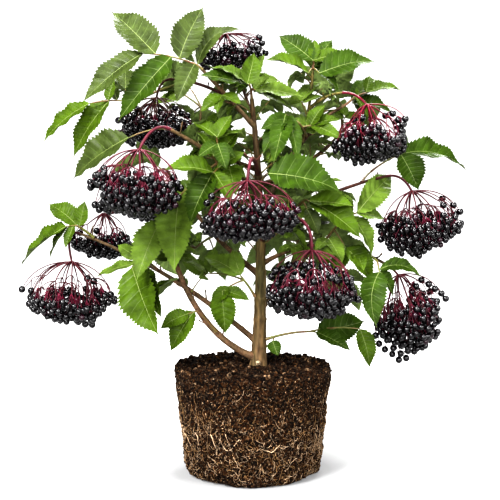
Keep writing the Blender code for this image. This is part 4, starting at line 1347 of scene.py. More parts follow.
def make_bark(looks):
    """The trunk's and the boughs' bark, one piece each, and the pruned stub at the foot."""
    limbs = limb_twigs()
    for limb in LIMBS:
        shapes = Shapes()
        shapes.add(*skin(*limb_skin(limb, limbs[limb.name], looks)))
        add_spurs(shapes, limb, limbs[limb.name], looks.spurs)
        if limb.parent:
            materials = [bark(limb.name + "_bark", BOUGH_COLOURS.get(limb.name, BACK_BOUGH))]
        else:
            foot, middle, top = tuple(looks.foot_colour), tuple(looks.middle_colour), tuple(looks.top_colour)
            rise = (foot, middle, UPPER_TRUNK, UPPER_TRUNK, top)
            materials = [bark("trunk_bark", foot, TRUNK_STREAKS, rise), cut_wood()]
            add_stub(shapes)
        piece = shapes.make(limb.name + "_skin", materials)
        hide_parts(limb.name)


def add_spurs(shapes, limb, twig, spacing):
    """Short bare side shoots along a limb, each with a bud at its end."""
    rng = seeded(limb.name + "_spurs")
    count = int((twig.end - twig.start).length / spacing)
    paths, rings = [], []
    turn = rng.uniform(0, math.tau)
    first, span = SPUR_SPAN
    for share in (np.arange(count) + rng.uniform(0.2, 0.9, count)) / max(1, count):
        share = first + span * share
        turn += GOLDEN_ANGLE
        heading = along_twig(twig, share)
        side = across(heading, Vector((math.cos(turn), math.sin(turn), 0.2)))
        way = (side + heading * rng.uniform(0.3, 1.0) + UP * 0.3).normalized()
        foot = on_twig(twig, share) + side * radius_at(twig, share) * 0.5
        reach = rng.uniform(*SPUR_LENGTHS)
        knee = foot + way * reach * SPUR_KNEE
        tip = knee + (way + UP * 0.4).normalized() * reach * SPUR_KNEE
        stalk = [foot.lerp(knee, step) for step in (0, 0.5, 1)]
        paths.append(stalk + [knee.lerp(tip, step) for step in SPUR_BUD])
        rings.append(np.array(SPUR_RADII) * rng.uniform(0.8, 1.15))
    if paths:
        shapes.add(*tubes(np.array(paths), np.array(rings), 6))


def add_stub(shapes):
    """The pruned stub at the trunk's foot, with its pale cut face."""
    share, radius = np.array(STUB_PROFILE).T
    path = np.array(STUB_PLACE) + unit(np.array(STUB_WAY)) * (share * STUB_LENGTH)[:, None]
    ring = radius[:, None] * STUB_RADIUS * (1 + 0.06 * np.sin(np.arange(STUB_SIDES) * 2.1))
    points, faces = skin(path, ring)
    shapes.add(points, faces, np.where(np.arange(len(faces)) < STUB_BARK_ROWS * STUB_SIDES, 0, 1))


def cut_wood():
    """Pale dry wood where a shoot was pruned off."""
    finish = Finish("cut_wood", CUT_COLOUR, 0.8)
    rings = finish.noise(0.9, 3)
    finish.colour(finish.shades(rings, (0.35, 0.5), (0.6, 1.2)))
    return finish.rough(rings, 0.7, 0.9).bump(rings, 0.2).done()


# Leaves
def outline(share):
    """Half the width of a leaflet along its length: widest near two fifths, with a thin drawn-out tip."""
    widest = LEAF_FOOT_ROUND / (LEAF_FOOT_ROUND + LEAF_TIP_ROUND)
    most = widest ** LEAF_FOOT_ROUND * (1 - widest) ** LEAF_TIP_ROUND
    body = np.clip(share / LEAF_BODY, 0, 1)
    body = body ** LEAF_FOOT_ROUND * (1 - body) ** LEAF_TIP_ROUND / most
    return body + LEAF_TIP_WIDTH * share * (1 - share) ** LEAF_TIP_TAPER


def skyward(normal, ahead, share):
    """The blade's normal rolled about its midrib towards the sky, by a share of the way."""
    up = np.array((0, 0, 1.0)) - ahead * ahead[2]
    if np.linalg.norm(up) < FLATTEST:
        return normal
    return unit(normal * (1 - share) + unit(up) * share)


def changed(leaf, change):
    """A leaflet with its own change of width and length."""
    tip = leaf.foot + (leaf.tip - leaf.foot) * change.long
    return leaf._replace(width=leaf.width * change.wide, tip=tip)


def blade_columns(leaf):
    """Where a blade's columns of points lie from edge to edge: fewer in a small blade."""
    small = (leaf.tip - leaf.foot).length < SMALL_LEAF
    return np.array(SMALL_BLADE_COLUMNS if small else BLADE_COLUMNS)


def vein_step(rows, looks):
    """The rows of points from one side vein to the next."""
    return max(3, round((rows - 1) / looks.veins))


def blade_grid(leaf, rng, looks, change):
    """A leaflet's surface as rows by columns of points, the rows running out along its side veins."""
    way = np.array(leaf.tip - leaf.foot)
    length = np.linalg.norm(way)
    rows = 2 * int(looks.teeth * (0.5 + 0.5 * length / USUAL_LEAF)) + 1
    place = np.linspace(0, 1, rows)
    teeth = np.arange(rows) % 2
    edge = place + looks.sweep * (place * (1 - place)) ** SWEEP_BOW + teeth * TOOTH_LEAN / rows
    edge = np.minimum(edge, 1) * np.where(place == 0, 0, 1)
    edge[-1] = 1
    spread = blade_columns(leaf)
    out = np.abs(spread)
    along = place[:, None] + (edge - place)[:, None] * out ** SWEEP_OUT
    profile = outline(edge)
    teeth = teeth * looks.tooth * np.minimum(np.sqrt(profile), profile * TOOTH_AT_TIP)
    half = (profile + teeth) * leaf.width * looks.slender / 2
    breadth = (half / half.max())[:, None]
    side = half[:, None] * spread
    ahead = way / length
    normal = np.array(leaf.normal)
    normal = skyward(unit(normal - ahead * normal.dot(ahead)), ahead, change.roll)
    fold = rng.uniform(*looks.fold)
    curl, sickle = rng.uniform(*CURL), rng.uniform(-SICKLE, SICKLE)
    twist, phase, waves = rng.uniform(-TWIST, TWIST), rng.uniform(0, 6.3, 2), rng.uniform(*WAVES)
    rise = np.sqrt(side ** 2 + MIDRIB_ROUND) * fold
    rise += leaf.arch * length * 4 * along * (1 - along) - curl * length * along ** CURL_BOW
    wave = np.sin(along * waves * math.tau + np.where(spread < 0, phase[0], phase[1]))
    rise += wave * out ** WAVE_OUT * np.minimum(1, breadth * 2) * looks.wave * length / USUAL_LEAF
    between = np.cos(np.arange(rows) / vein_step(rows, looks) * math.tau)[:, None]
    rise -= between * looks.bulge * out * (1 - out ** 3) * breadth
    angle = twist * along
    side, rise = side * np.cos(angle) - rise * np.sin(angle), side * np.sin(angle) + rise * np.cos(angle)
    side = side + (sickle * along ** 2 + change.bend * 4 * along * (1 - along)) * length
    points = np.array(leaf.foot) + ahead * (along * length)[..., None]
    return points + np.cross(normal, ahead) * side[..., None] + normal * rise[..., None], normal


def sheet_normals(grid, fallback):
    """The upright at each point of a sheet, and the fallback where its rows close up."""
    normals = np.cross(np.gradient(grid, axis=1), np.gradient(grid, axis=0))
    size = np.linalg.norm(normals, axis=2, keepdims=True)
    normals = np.where(size > 1e-4, normals / np.maximum(size, 1e-9), fallback)
    return normals * np.sign((normals @ fallback)[..., None] + 1e-9)


def add_blade(shapes, leaf, tone, rng, looks, change):
    """One leaflet: its two skins, which come close at the teeth, its midrib and its side veins."""
    grid, normal = blade_grid(leaf, rng, looks, change)
    rows, columns = grid.shape[:2]
    normals = sheet_normals(grid, normal)
    faces = sheet_faces(rows, columns)
    shapes.add(grid, faces, tone)
    thick = BLADE_THICK * (1 - BLADE_EDGE_THIN * np.abs(blade_columns(leaf)) ** 4)
    shapes.add(grid - thick[None, :, None] * normals, faces[:, [0, 3, 2, 1]], UNDERSIDE)
    middle = columns // 2
    rib = grid[::RIB_STEP, middle][None]
    size = leaf.width / USUAL_LEAF_WIDTH
    radii = np.linspace(*RIB_RADII, rib.shape[1]) * (0.5 + 0.5 * size)
    shapes.add(*tubes(rib, radii[None], 4, np.broadcast_to(normal, rib.shape)), RIB)
    step = vein_step(rows, looks)
    lengthwise = unit(grid[-1, middle] - grid[0, middle])
    for side in (1, -1):
        for row in range(step, rows - step, step):
            line = grid[row, middle::side][: middle + 1]
            line = np.concatenate((line[:-1], [line[-2] + (line[-1] - line[-2]) * VEIN_REACH]))
            line = line + normals[row, middle::side][: middle + 1] * VEIN_LIFT
            half = (np.linspace(*VEIN_HALVES, len(line)) * (0.4 + 0.6 * size))[:, None] * lengthwise
            flat = sheet_faces(len(line), 2)
            shapes.add(np.stack((line - half, line + half), 1), flat[:, ::-1] if side > 0 else flat, VEIN)


def kept(leaf, tree):
    """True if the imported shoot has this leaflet: its own surface then passes by the leaflet's tip."""
    return tree.find_nearest(leaf.tip * MM, 1.2 * MM)[0] is not None


def surface_tree(name):
    mesh = frame["nodes"][name].data
    return BVHTree.FromPolygons([v.co for v in mesh.vertices], [tuple(f.vertices) for f in mesh.polygons])


def add_twig(shapes, twig, steps, sides, slot):
    """A tapering stem along a twig, with a slightly thicker foot."""
    share = np.linspace(0, 1, steps + 1)
    radii = radius_at(twig, share) * (1 + FOOT_SWELL * np.exp(-share * FOOT_FADE))
    radii[-1] *= END_THIN
    shapes.add(*tubes(twig_path(twig, steps)[None], radii[None], sides), slot)


def leaf_group(behind, right):
    """The piece that a shoot's leaves go to, by its side of the trunk."""
    return "leaves_" + ("behind_" if behind else "") + ("left" if right < 0 else "right")


def leaf_finishes(looks):
    """The greens, and the underside, rib, vein and stem, in the order of their slots."""
    greens = [leaf_skin(name, tuple(getattr(looks, name))) for name in LEAF_TONES]
    veins = [vein_skin(name, tuple(getattr(looks, name))) for name in ("rib", "vein")]
    # The underside is partly its own paler green and partly painted light that lifts the shade inside the
    # crown
    underside = leaf_skin("underside", tuple(looks.underside), 0.6)
    return [*greens, underside, *veins, stem_skin(tuple(looks.stem))]


def add_spray(shapes, spray, limbs, looks, weights):
    """One leafy shoot as the solids grow it, with the leaflets that its solid kept."""
    rng = seeded(spray.name)
    tree = surface_tree(spray.name)
    stem, leaves = grow(spray, limbs)
    add_twig(shapes, stem, 10, 7, STEM)
    usual = (SKYWARD.get(spray.name, USUAL_ROLL),)
    changes = BLADE_CHANGES.get(spray.name, {})
    for number, (stalk, blades) in enumerate(leaves):
        own = [BladeChange(*changes.get((number, place), usual)) for place in range(len(blades))]
        blades = [(changed(leaf, change), change) for leaf, change in zip(blades, own) if kept(leaf, tree)]
        if blades:
            add_twig(shapes, stalk, 8, 6, STEM)
        tone = rng.choice(len(LEAF_TONES), p=weights)
        for leaf, change in blades:
            if rng.random() < TONE_SWITCH:
                tone = rng.choice(len(LEAF_TONES), p=weights)
            add_blade(shapes, leaf, tone, rng, looks, change)


def make_leaves(looks):
    """The leafy shoots, dressed in toothed and veined leaflets: two pieces in front and two behind."""
    limbs = limb_twigs()
    finishes = leaf_finishes(looks)
    groups = {}
    for spray in SPRAYS:
        behind = spray.name.startswith("leaves_back")
        shapes, names = groups.setdefault(leaf_group(behind, spray.reach[0]), (Shapes(), []))
        names.append(spray.name)
        # Shoots behind take the lighter back greens, which paint light into the crown's shaded inside
        tones = SPRAY_TONES_AND_PAINTED_LIGHT.get(spray.name, "back" if behind else "plain")
        add_spray(shapes, spray, limbs, looks, TONE_SHARES[tones])
    rng = seeded("inner_shoots")
    for stalk, leaves, behind in inner_shoots(limbs, looks):
        shapes = groups[leaf_group(behind, stalk.end.x)][0]
        add_twig(shapes, stalk, 5, 5, STEM)
        # Inner shoots behind take the lighter back greens too: painted light inside the crown
        tone = rng.choice(len(LEAF_TONES), p=TONE_SHARES["back" if behind else "inner"])
        for leaf in leaves:
            add_blade(shapes, leaf, tone, rng, looks, BladeChange())
    for group, (shapes, names) in groups.items():
        piece = shapes.make(group, finishes)
        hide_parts(*names)


def inside_fruit(point):
    """True if a point is in or against a fruit head's berries."""
    for umbel in UMBELS:
        middle, axis, side, other = head_frame(umbel)
        way = np.array(point) - middle
        reach = (umbel.radius, umbel.radius, umbel.half)
        if sum((way @ line / size) ** 2 for line, size in zip((side, other, axis), reach)) < FRUIT_CLEARANCE:
            return True
    return False


def before_trunk(knee):
    """True if a leaf there would hide the bare trunk from the camera."""
    aside = abs(knee.x - TRUNK_FOOT.x)
    return knee.y < TRUNK_VIEW_BACK and aside < TRUNK_VIEW and knee.z > TRUNK_VIEW_FOOT


def inner_blades(rng, stalk, face, ahead, side, heading, looks):
    """The blades of a small compound leaf: three or five, those left out that reach into fruit."""
    for share, spread, size in INNER_BLADES[: rng.choice((3, 5))]:
        foot = on_twig(stalk, share)
        length = size * rng.uniform(*looks.inner_leaf)
        turn = math.radians(spread + rng.uniform(-INNER_SWAY, INNER_SWAY))
        way = Matrix.Rotation(turn, 3, face) @ ahead
        aside, onward = (rng.uniform(-INNER_TILT, INNER_TILT) for _ in range(2))
        tilted = (face + side * aside + heading * onward).normalized()
        tip = foot + (way - UP * rng.uniform(0, INNER_DROOP)).normalized() * length
        leaf = Leaflet(foot, tip, tilted, length * rng.uniform(*LEAF_WIDTH), rng.uniform(*LEAF_ARCH))
        if not inside_fruit(tip) and not inside_fruit((foot + tip) / 2):
            yield leaf


def inner_shoots(limbs, looks):
    """Small compound leaves along the limbs, inside the crown: each a stalk, its blades and a side."""
    for name, first, last, count, (short, long) in INNER_SHOOTS:
        limb = limbs[name]
        rng = random.Random(name + "_inner")
        turn = rng.uniform(0, math.tau)
        for index in range(int(count * looks.fullness)):
            at = first + (last - first) * (index + rng.uniform(0.2, 0.8)) / count
            middle, heading = on_twig(limb, at), along_twig(limb, at)
            turn += GOLDEN_ANGLE
            side = across(heading, Vector((math.cos(turn), math.sin(turn), 0.1)))
            way = (side + heading * rng.uniform(0.2, 0.8) + UP * rng.uniform(0, 0.4)).normalized()
            start = middle + side * radius_at(limb, at)
            knee = middle + way * rng.uniform(short, long)
            outward = Vector((way.x, way.y, 0)).normalized() if way.xy.length > 0.01 else Vector((0, -1, 0))
            face = (outward * rng.uniform(0.3, 0.9) + UP * rng.uniform(0.5, 1)).normalized()
            radii = [STALK_RADIUS * share for share in INNER_STALK]
            stalk = Twig(start, (start + knee) / 2 + UP * 2, knee, *radii)
            leaves = list(inner_blades(rng, stalk, face, across(face, way), side, heading, looks))
            if leaves and not before_trunk(knee):
                yield stalk, leaves, middle.y > 0


def leaf_skin(name, colour, roughness=0.46):
    """A leaf's surface: mottled, slightly waxy, and finely wrinkled."""
    finish = Finish("leaf_" + name, colour, roughness)
    patches = finish.noise(14, 3)
    mottle = finish.noise(2.0, 4)
    ground = finish.shades(patches, (0.32, 0.68), (0.68, 1.35))
    shade = finish.ramp(mottle, (0.3, (0.86, 0.86, 0.84)), (0.7, (1.1, 1.1, 1.06)))
    finish.colour(finish.mix(1.0, ground, shade, "MULTIPLY"))
    finish.rough(mottle, roughness - 0.07, roughness + 0.1).bump(mottle, 0.12, 0.5)
    return finish.done(gloss=LEAF_GLOSS.get(name, USUAL_GLOSS))


def vein_skin(name, colour):
    finish = Finish("leaf_" + name, colour, 0.5)
    patches = finish.noise(6, 2)
    finish.colour(finish.shades(patches, (0.3, 0.8), (0.7, 1.15)))
    return finish.rough(patches, 0.42, 0.6).done(gloss=0.15)


def stem_skin(colour):
    """A green stem that is flushed with red in places."""
    finish = Finish("leaf_stem", colour, 0.5)
    finish.colour(finish.ramp(finish.noise(16, 3), (0.38, colour), (0.7, STEM_FLUSH)))
    finish.rough(finish.noise(2), 0.42, 0.6).bump(finish.noise(1.2), 0.12)
    return finish.done(gloss=0.2)


# Fruit
def head_frame(umbel):
    """The middle of a fruit head and its three directions: along its axis, and two across it."""
    axis = np.array(umbel_axis(umbel))
    side = unit(np.cross(axis, (0, 1, 0)))
    return np.array(umbel_middle(umbel)), axis, side, np.cross(axis, side)


def packed_berries(umbel, looks):
    """Berry centres: packed over the head's outside, fewer inside it, and open where the rays enter.

    The head's loose berries come first, and nothing hangs in its hollows. The ends of the bare fine
    stalks, which stand in the open top, come as a second list, and the number of loose berries last.
    """
    rng = seeded(umbel.name)
    middle, axis, side, other = head_frame(umbel)
    size = looks.berry / 2
    way = unit(rng.normal(0, 1, (TRIES, 3)))
    outer = np.arange(TRIES) < TRIES * OUTER_SHARE
    shell = np.where(outer, rng.uniform(*OUTER_SHELL, TRIES), rng.uniform(*INNER_SHELL, TRIES))
    clumps = unit(rng.normal(0, 1, (CLUMPS, 3)))
    open_to = rng.uniform(*CLUMP_TOPS, CLUMPS)
    open_top = way[:, 2] < open_to[(way @ clumps.T).argmax(1)]
    lobes = unit(rng.normal(0, 1, (LOBES, 3)) * (1, 1, LOBE_FLAT))
    lobe = np.clip(((way @ lobes.T).max(1) - LOBE_FROM) / LOBE_OVER, 0, 1)
    shell = shell * (LOBE_REACH[0] + LOBE_REACH[1] * lobe)
    reach = np.array((umbel.radius - size, umbel.radius - size, umbel.half - size))
    local = way * shell[:, None] * reach
    local[:, 2] += np.where(way[:, 2] > 0, rng.uniform(*TOP_SCATTER, TRIES), 0)
    offsets = local @ np.array((side, other, axis))
    shape = HEAD_SHAPES.get(umbel.name, HeadShape())
    closed = ~open_top
    for right, rise, radius in shape.hollows:
        closed &= np.hypot(offsets[:, 0] - right, offsets[:, 2] - rise) > radius + size * HOLLOW_MARGIN
    loose = [(right, rng.uniform(-LOOSE_DEPTH, LOOSE_DEPTH), rise) for right, rise in shape.loose]
    spots = np.concatenate((np.array(loose).reshape(-1, 3), offsets[closed]))
    placed = np.empty((len(spots), 3))
    count = alone = 0
    for index, spot in enumerate(spots):
        if count == 0 or ((placed[:count] - spot) ** 2).sum(1).min() > (looks.berry * looks.spacing) ** 2:
            placed[count] = spot
            count += 1
            alone += index < len(loose)
    inside = open_top & (way[:, 2] < BARE_TOP) & (shell > BARE_SHELL[0]) & (shell < BARE_SHELL[1])
    return middle + placed[:count], middle + offsets[inside][: int(count * BARE_SHARE)], alone


def berry_rings():
    """A berry of unit radius as rings of points: round, with the small dried calyx at its end."""
    turn = np.arange(BERRY_SIDES) * math.tau / BERRY_SIDES
    return np.array([[(r * math.cos(t), r * math.sin(t), z) for t in turn] for r, z in BERRY_PROFILE])


def add_berries(shapes, places, ways, sizes, slots):
    """Berries at those places, their calyx ends turned that way."""
    local = berry_rings()
    side = unit(np.cross(ways, (0.3, 0.9, 0.2)))
    other = np.cross(ways, side)
    turned = (local[None, ..., :1] * side[:, None, None] + local[None, ..., 1:2] * other[:, None, None]
              + local[None, ..., 2:] * ways[:, None, None])
    points = places[:, None, None] + turned * sizes[:, None, None, None]
    faces = grid_faces(len(places), local.shape[0], BERRY_SIDES)
    shapes.add(points, faces, np.repeat(slots, len(faces) // len(places)))


def means(points, group, count, spare):
    """The mean of each group of points, or its spare point where a group is empty."""
    return np.array([points[group == index].mean(0) if (group == index).any() else spare[index]
                     for index in range(count)])


def nearest(points, centres):
    """For each point, the number of the nearest centre."""
    return np.linalg.norm(points[:, None] - centres, axis=2).argmin(1)


def gather(points, count):
    """Spread-out centres in a cloud of points, and for each point the nearest of them."""
    chosen = [0]
    gap = np.linalg.norm(points - points[0], axis=1)
    while len(chosen) < count:
        chosen.append(int(gap.argmax()))
        gap = np.minimum(gap, np.linalg.norm(points - points[chosen[-1]], axis=1))
    centres = points[chosen]
    for _ in range(3):
        centres = means(points, nearest(points, centres), count, centres)
    return centres, nearest(points, centres)


def umbrella(points, hub, axis, level):
    """Points drawn up towards the hub's level by one share and in towards the axis by another."""
    way = points - hub
    fall = (way @ axis)[:, None] * axis
    return hub + fall * level[0] + (way - fall) * level[1]


def add_arched(shapes, starts, ends, axis, bend, radii, steps, sides, slot):
    """Rays that leave sideways and turn down along the axis: the bend is a share of each."""
    starts = np.broadcast_to(starts, ends.shape)
    way = ends - starts
    fall = (way @ axis)[:, None] * axis
    paths = curves(starts, starts + (way - fall) * bend[0] + fall * bend[1], ends, steps)
    shapes.add(*tubes(paths, np.linspace(*radii, steps + 1)[None], sides), slot)


def add_rays(shapes, umbel, berries, bare, alone, slots):
    """The stalks in a fruit head: main rays, side rays to small groups, and one fine stalk to each berry.

    Fine stalks lead to the bare ends too, and those of the loose berries are stouter. The loose berries
    that are far out hang from arching rays as well. Returns the way that each berry hangs.
    """
    main_slot, fine_slot = slots
    rng = seeded(umbel.name + "_rays")
    middle, axis, _, _ = head_frame(umbel)
    hub = np.array(umbel.hub)
    groups, group = gather(berries, max(6, len(berries) // BERRIES_TO_A_RAY))
    nodes = umbrella(groups, hub, axis, SIDE_LEVEL)
    _, branch = gather(umbrella(nodes, hub, axis, BRANCH_LEVEL), MAIN_RAYS)
    forks = umbrella(means(nodes, branch, MAIN_RAYS, [nodes[0]] * MAIN_RAYS), hub, axis, MAIN_LEVEL)
    bends = [rng.uniform(*bend, (MAIN_RAYS, 1)) for bend in MAIN_BENDS]
    add_arched(shapes, hub, forks, axis, bends, MAIN_RAY, 8, 6, main_slot)
    add_arched(shapes, forks[branch], nodes, axis, SIDE_BEND, SIDE_RAY, 6, 5, main_slot)
    starts = nodes[np.concatenate((group, nearest(bare, nodes)))]
    ends = np.concatenate((berries, bare))
    control = (starts + ends) / 2 + rng.normal(0, STALK_WANDER, ends.shape)
    lone = berries[:alone]
    lone = lone[np.abs(lone[:, 0] - middle[0]) > ARCH_FROM * umbel.radius]
    if len(lone):
        add_arched(shapes, hub, lone, axis, ARCH_BEND, ARCH, 10, 5, main_slot)
    stout = np.arange(len(ends)) < alone
    radii = np.where(stout[:, None], STOUT_STALK, FINE_STALK)
    points, faces = tubes(curves(starts, control, ends, 3), radii, 3)
    fine = (rng.random(len(ends)) < FINE_TINT_SHARE) & ~stout
    shapes.add(points, faces, np.repeat(np.where(fine, fine_slot, main_slot), len(faces) // len(ends)))
    return unit(berries - starts[: len(berries)])


def fruit_group(hub):
    """The piece that a fruit head's berries go to, by where it hangs."""
    if hub[1] > BACK_FROM:
        return "back"
    if hub[0] < LEFT_FROM:
        return "left"
    return "right" if hub[0] > RIGHT_FROM else "middle"


def make_fruit(looks):
    """The fruit heads: berries in four pieces, and all their stalks in one."""
    limbs = limb_twigs()
    berry_skins = [berry_skin("berry_black", tuple(looks.ripe)), berry_skin("berry_plum", tuple(looks.plum)),
                   berry_skin("berry_red", tuple(looks.unripe))]
    tints = list(RAY_COLOURS)
    ray_skins = [ray_skin("ray_" + name, colour) for name, colour in RAY_COLOURS.items()]
    stalks, groups = Shapes(), {}
    for umbel in UMBELS:
        places, bare, alone = packed_berries(umbel, looks)
        rng = seeded(umbel.name + "_fruit")
        slots = tints.index(HEAD_RAYS.get(umbel.name, USUAL_RAYS)), tints.index(FINE_RAYS)
        ways = add_rays(stalks, umbel, places, bare, alone, slots)
        stalk = umbel_stalk(umbel, limbs)
        slim = stalk._replace(thick=stalk.thick * STALK_SLIM, thin=stalk.thin * STALK_SLIM)
        add_twig(stalks, slim, 12, 8, slots[0])
        shapes, names = groups.setdefault(fruit_group(umbel.hub), (Shapes(), []))
        names.append(umbel.name)
        sizes = looks.berry / 2 * rng.uniform(*BERRY_SIZES, len(places))
        sizes[:alone] = looks.berry / 2 * LOOSE_SIZE
        kinds = rng.choice(len(berry_skins), len(places), p=BERRY_SHARES)
        kinds[:alone] = 0
        droop = unit(ways + np.array((0, 0, BERRY_DROOP)))
        add_berries(shapes, places, droop, np.where(kinds == UNRIPE, sizes * UNRIPE_SIZE, sizes), kinds)
    for group, (shapes, names) in groups.items():
        piece = shapes.make("berries_" + group, berry_skins)
        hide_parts(*names)
    piece = stalks.make("fruit_stalks", ray_skins)


def berry_skin(name, colour):
    """A ripe berry: dark, glossy, with a faint bloom."""
    finish = Finish(name, colour, 0.1)
    bloom = finish.noise(5, 2)
    finish.colour(finish.shades(bloom, (0.35, 1), (0.75, 1.9)))
    finish.rough(bloom, 0.05, 0.11).bump(finish.noise(1.6, 1), 0.02, 0.2)
    return finish.done(gloss=0.24)


def ray_skin(name, colour):
    """A fruit stalk, smooth and flushed."""
    finish = Finish(name, colour, 0.42)
    patches = finish.noise(5, 2)
    finish.colour(finish.shades(patches, (0.3, 0.6), (0.7, 1.3)))
    return finish.rough(patches, 0.35, 0.5).bump(finish.noise(1.0), 0.08).done(gloss=0.08)


# Stage
def aimed(place, aim):
    """The turn that points a light or the camera from its place to its aim."""
    return (Vector(aim) - Vector(place)).to_track_quat("-Z", "Y").to_euler()


def area_light(name, place, size, power):
    lamp = bpy.data.lights.new(name, "AREA")
    lamp.shape = "DISK"
    lamp.size = size
    lamp.energy = power
    thing = bpy.data.objects.new(name, lamp)
    thing.location = place
    thing.rotation_euler = aimed(place, LIGHT_AIM)
    bpy.context.scene.collection.objects.link(thing)


def make_floor(looks):
    """The grey floor, with painted light: it glows to white away from the plant, and glows less near it, a
    painted shade round the plant's foot.
    """
    mesh = bpy.data.meshes.new("floor")
    corners = [(-FLOOR_REACH, -FLOOR_REACH), (FLOOR_REACH, -FLOOR_REACH),
               (FLOOR_REACH, FLOOR_REACH), (-FLOOR_REACH, FLOOR_REACH)]
    mesh.from_pydata([(x, y, -FLOOR_DROP) for x, y in corners], [], [(0, 1, 2, 3)])
    floor = bpy.data.objects.new("floor", mesh)
    glowing_paper = Finish("floor_paper", tuple(looks.floor), 0.9)
    glowing_paper.rough(glowing_paper.noise(3), 0.85, 0.95)
    glow = glowing_paper.span(glowing_paper.distance(), *FLOOR_FADE, looks.floor_glow, 1.0)
    glowing_paper.links.new(glow, glowing_paper.shader.inputs["Emission Strength"])
    glowing_paper.set(Emission_Color=(1, 1, 1, 1))
    mesh.materials.append(glowing_paper.done(gloss=0.0))
    bpy.context.scene.collection.objects.link(floor)


def make_surround(looks):
    """The white surround, which is dimmer overhead."""
    world = bpy.data.worlds.new("surround")
    world.use_nodes = True
    add = world.node_tree.nodes.new
    link = world.node_tree.links.new
    background = world.node_tree.nodes["Background"]
    split, band = add("ShaderNodeSeparateXYZ"), add("ShaderNodeMapRange")
    link(add("ShaderNodeTexCoord").outputs["Generated"], split.inputs["Vector"])
    link(split.outputs["Z"], band.inputs["Value"])
    set_span(band, (*BAND, 1.0, looks.overhead))
    link(band.outputs["Result"], background.inputs["Strength"])
    background.inputs["Color"].default_value = (1, 1, 1, 1)
    bpy.context.scene.world = world


def make_camera(looks):
    lens = bpy.data.cameras.new("camera")
    lens.sensor_width = SENSOR
    lens.lens = SENSOR / 2 / looks.half_view
    camera = bpy.data.objects.new("camera", lens)
    camera.location = tuple(looks.eye)
    camera.rotation_euler = aimed(looks.eye, looks.aim)
    bpy.context.scene.collection.objects.link(camera)
    bpy.context.scene.camera = camera


def make_stage(looks):
    """The floor, the white surround, the soft lights and the camera."""
    make_floor(looks)
    make_surround(looks)
    area_light("key", KEY_PLACE, looks.key_size, looks.key)
    for name, (place, size) in LIGHTS.items():
        area_light(name, place, size, getattr(looks, name))
    view = bpy.context.scene.view_settings
    view.view_transform = "Standard"
    view.look = "High Contrast"
    view.exposure = looks.exposure
    make_camera(looks)


def colour_value(name, about, default):
    return FloatVectorProperty(name=name, description=about, default=default, subtype="COLOR", size=3,
                               min=0, max=1)


def range_value(name, about, default, **limits):
    return FloatVectorProperty(name=name, description=about, default=default, size=2, **limits)


def power_value(name, about, default):
    return FloatProperty(name=name, description=about, default=default, min=0, subtype="POWER")


def place_value(name, about, default):
    return FloatVectorProperty(name=name, description=about, default=default, size=3, subtype="TRANSLATION",
                               unit="LENGTH")


class BallLooks(PropertyGroup):
    """Sizes and colours of the root ball."""

    soil: colour_value("Soil", "Colour of the peat", (0.0037, 0.0015, 0.0005))
    root: colour_value("Roots", "Colour of the palest roots", (0.24, 0.176, 0.118))
    roughness: FloatProperty(name="Lumps", description="How lumpy the soil is", default=1.0, min=0, max=2)
    fibres: IntProperty(name="Fine roots", description="Number of fine roots on the side", default=7000,
                        min=0)
    grit: IntProperty(name="Grit", description="Number of small crumbs of each colour on the side",
                      default=850, min=0)
    crumbs: IntProperty(name="Crumbs", description="Number of loose crumbs on the top", default=900, min=0)


class BarkLooks(PropertyGroup):
    """Sizes and colours of the bark."""

    foot_colour: colour_value("Foot", "Colour at the trunk's foot", (0.045, 0.0302, 0.0164))
    middle_colour: colour_value("Middle", "Colour of the trunk's middle", (0.037, 0.0297, 0.0119))
    top_colour: colour_value("Top", "Colour near the trunk's tip", (0.05, 0.044, 0.009))
    relief: FloatProperty(name="Relief", description="Depth of the ridges, as a share of the usual",
                          default=1.0, min=0, max=3)
    pores: FloatProperty(name="Pores", description="Pores for each square millimetre along a limb",
                         default=0.03, min=0, max=0.2)
    trunk_sides: IntProperty(name="Trunk sides", description="Faces round the trunk", default=32, min=8)
    bough_sides: IntProperty(name="Bough sides", description="Faces round a bough", default=16, min=6)
    spurs: FloatProperty(name="Spurs", description="Millimetres of limb for each bare side shoot",
                         default=34.0, min=5)
    joint_spacing: range_value("Joints", "Least and most millimetres between joints", (20, 34), min=5)


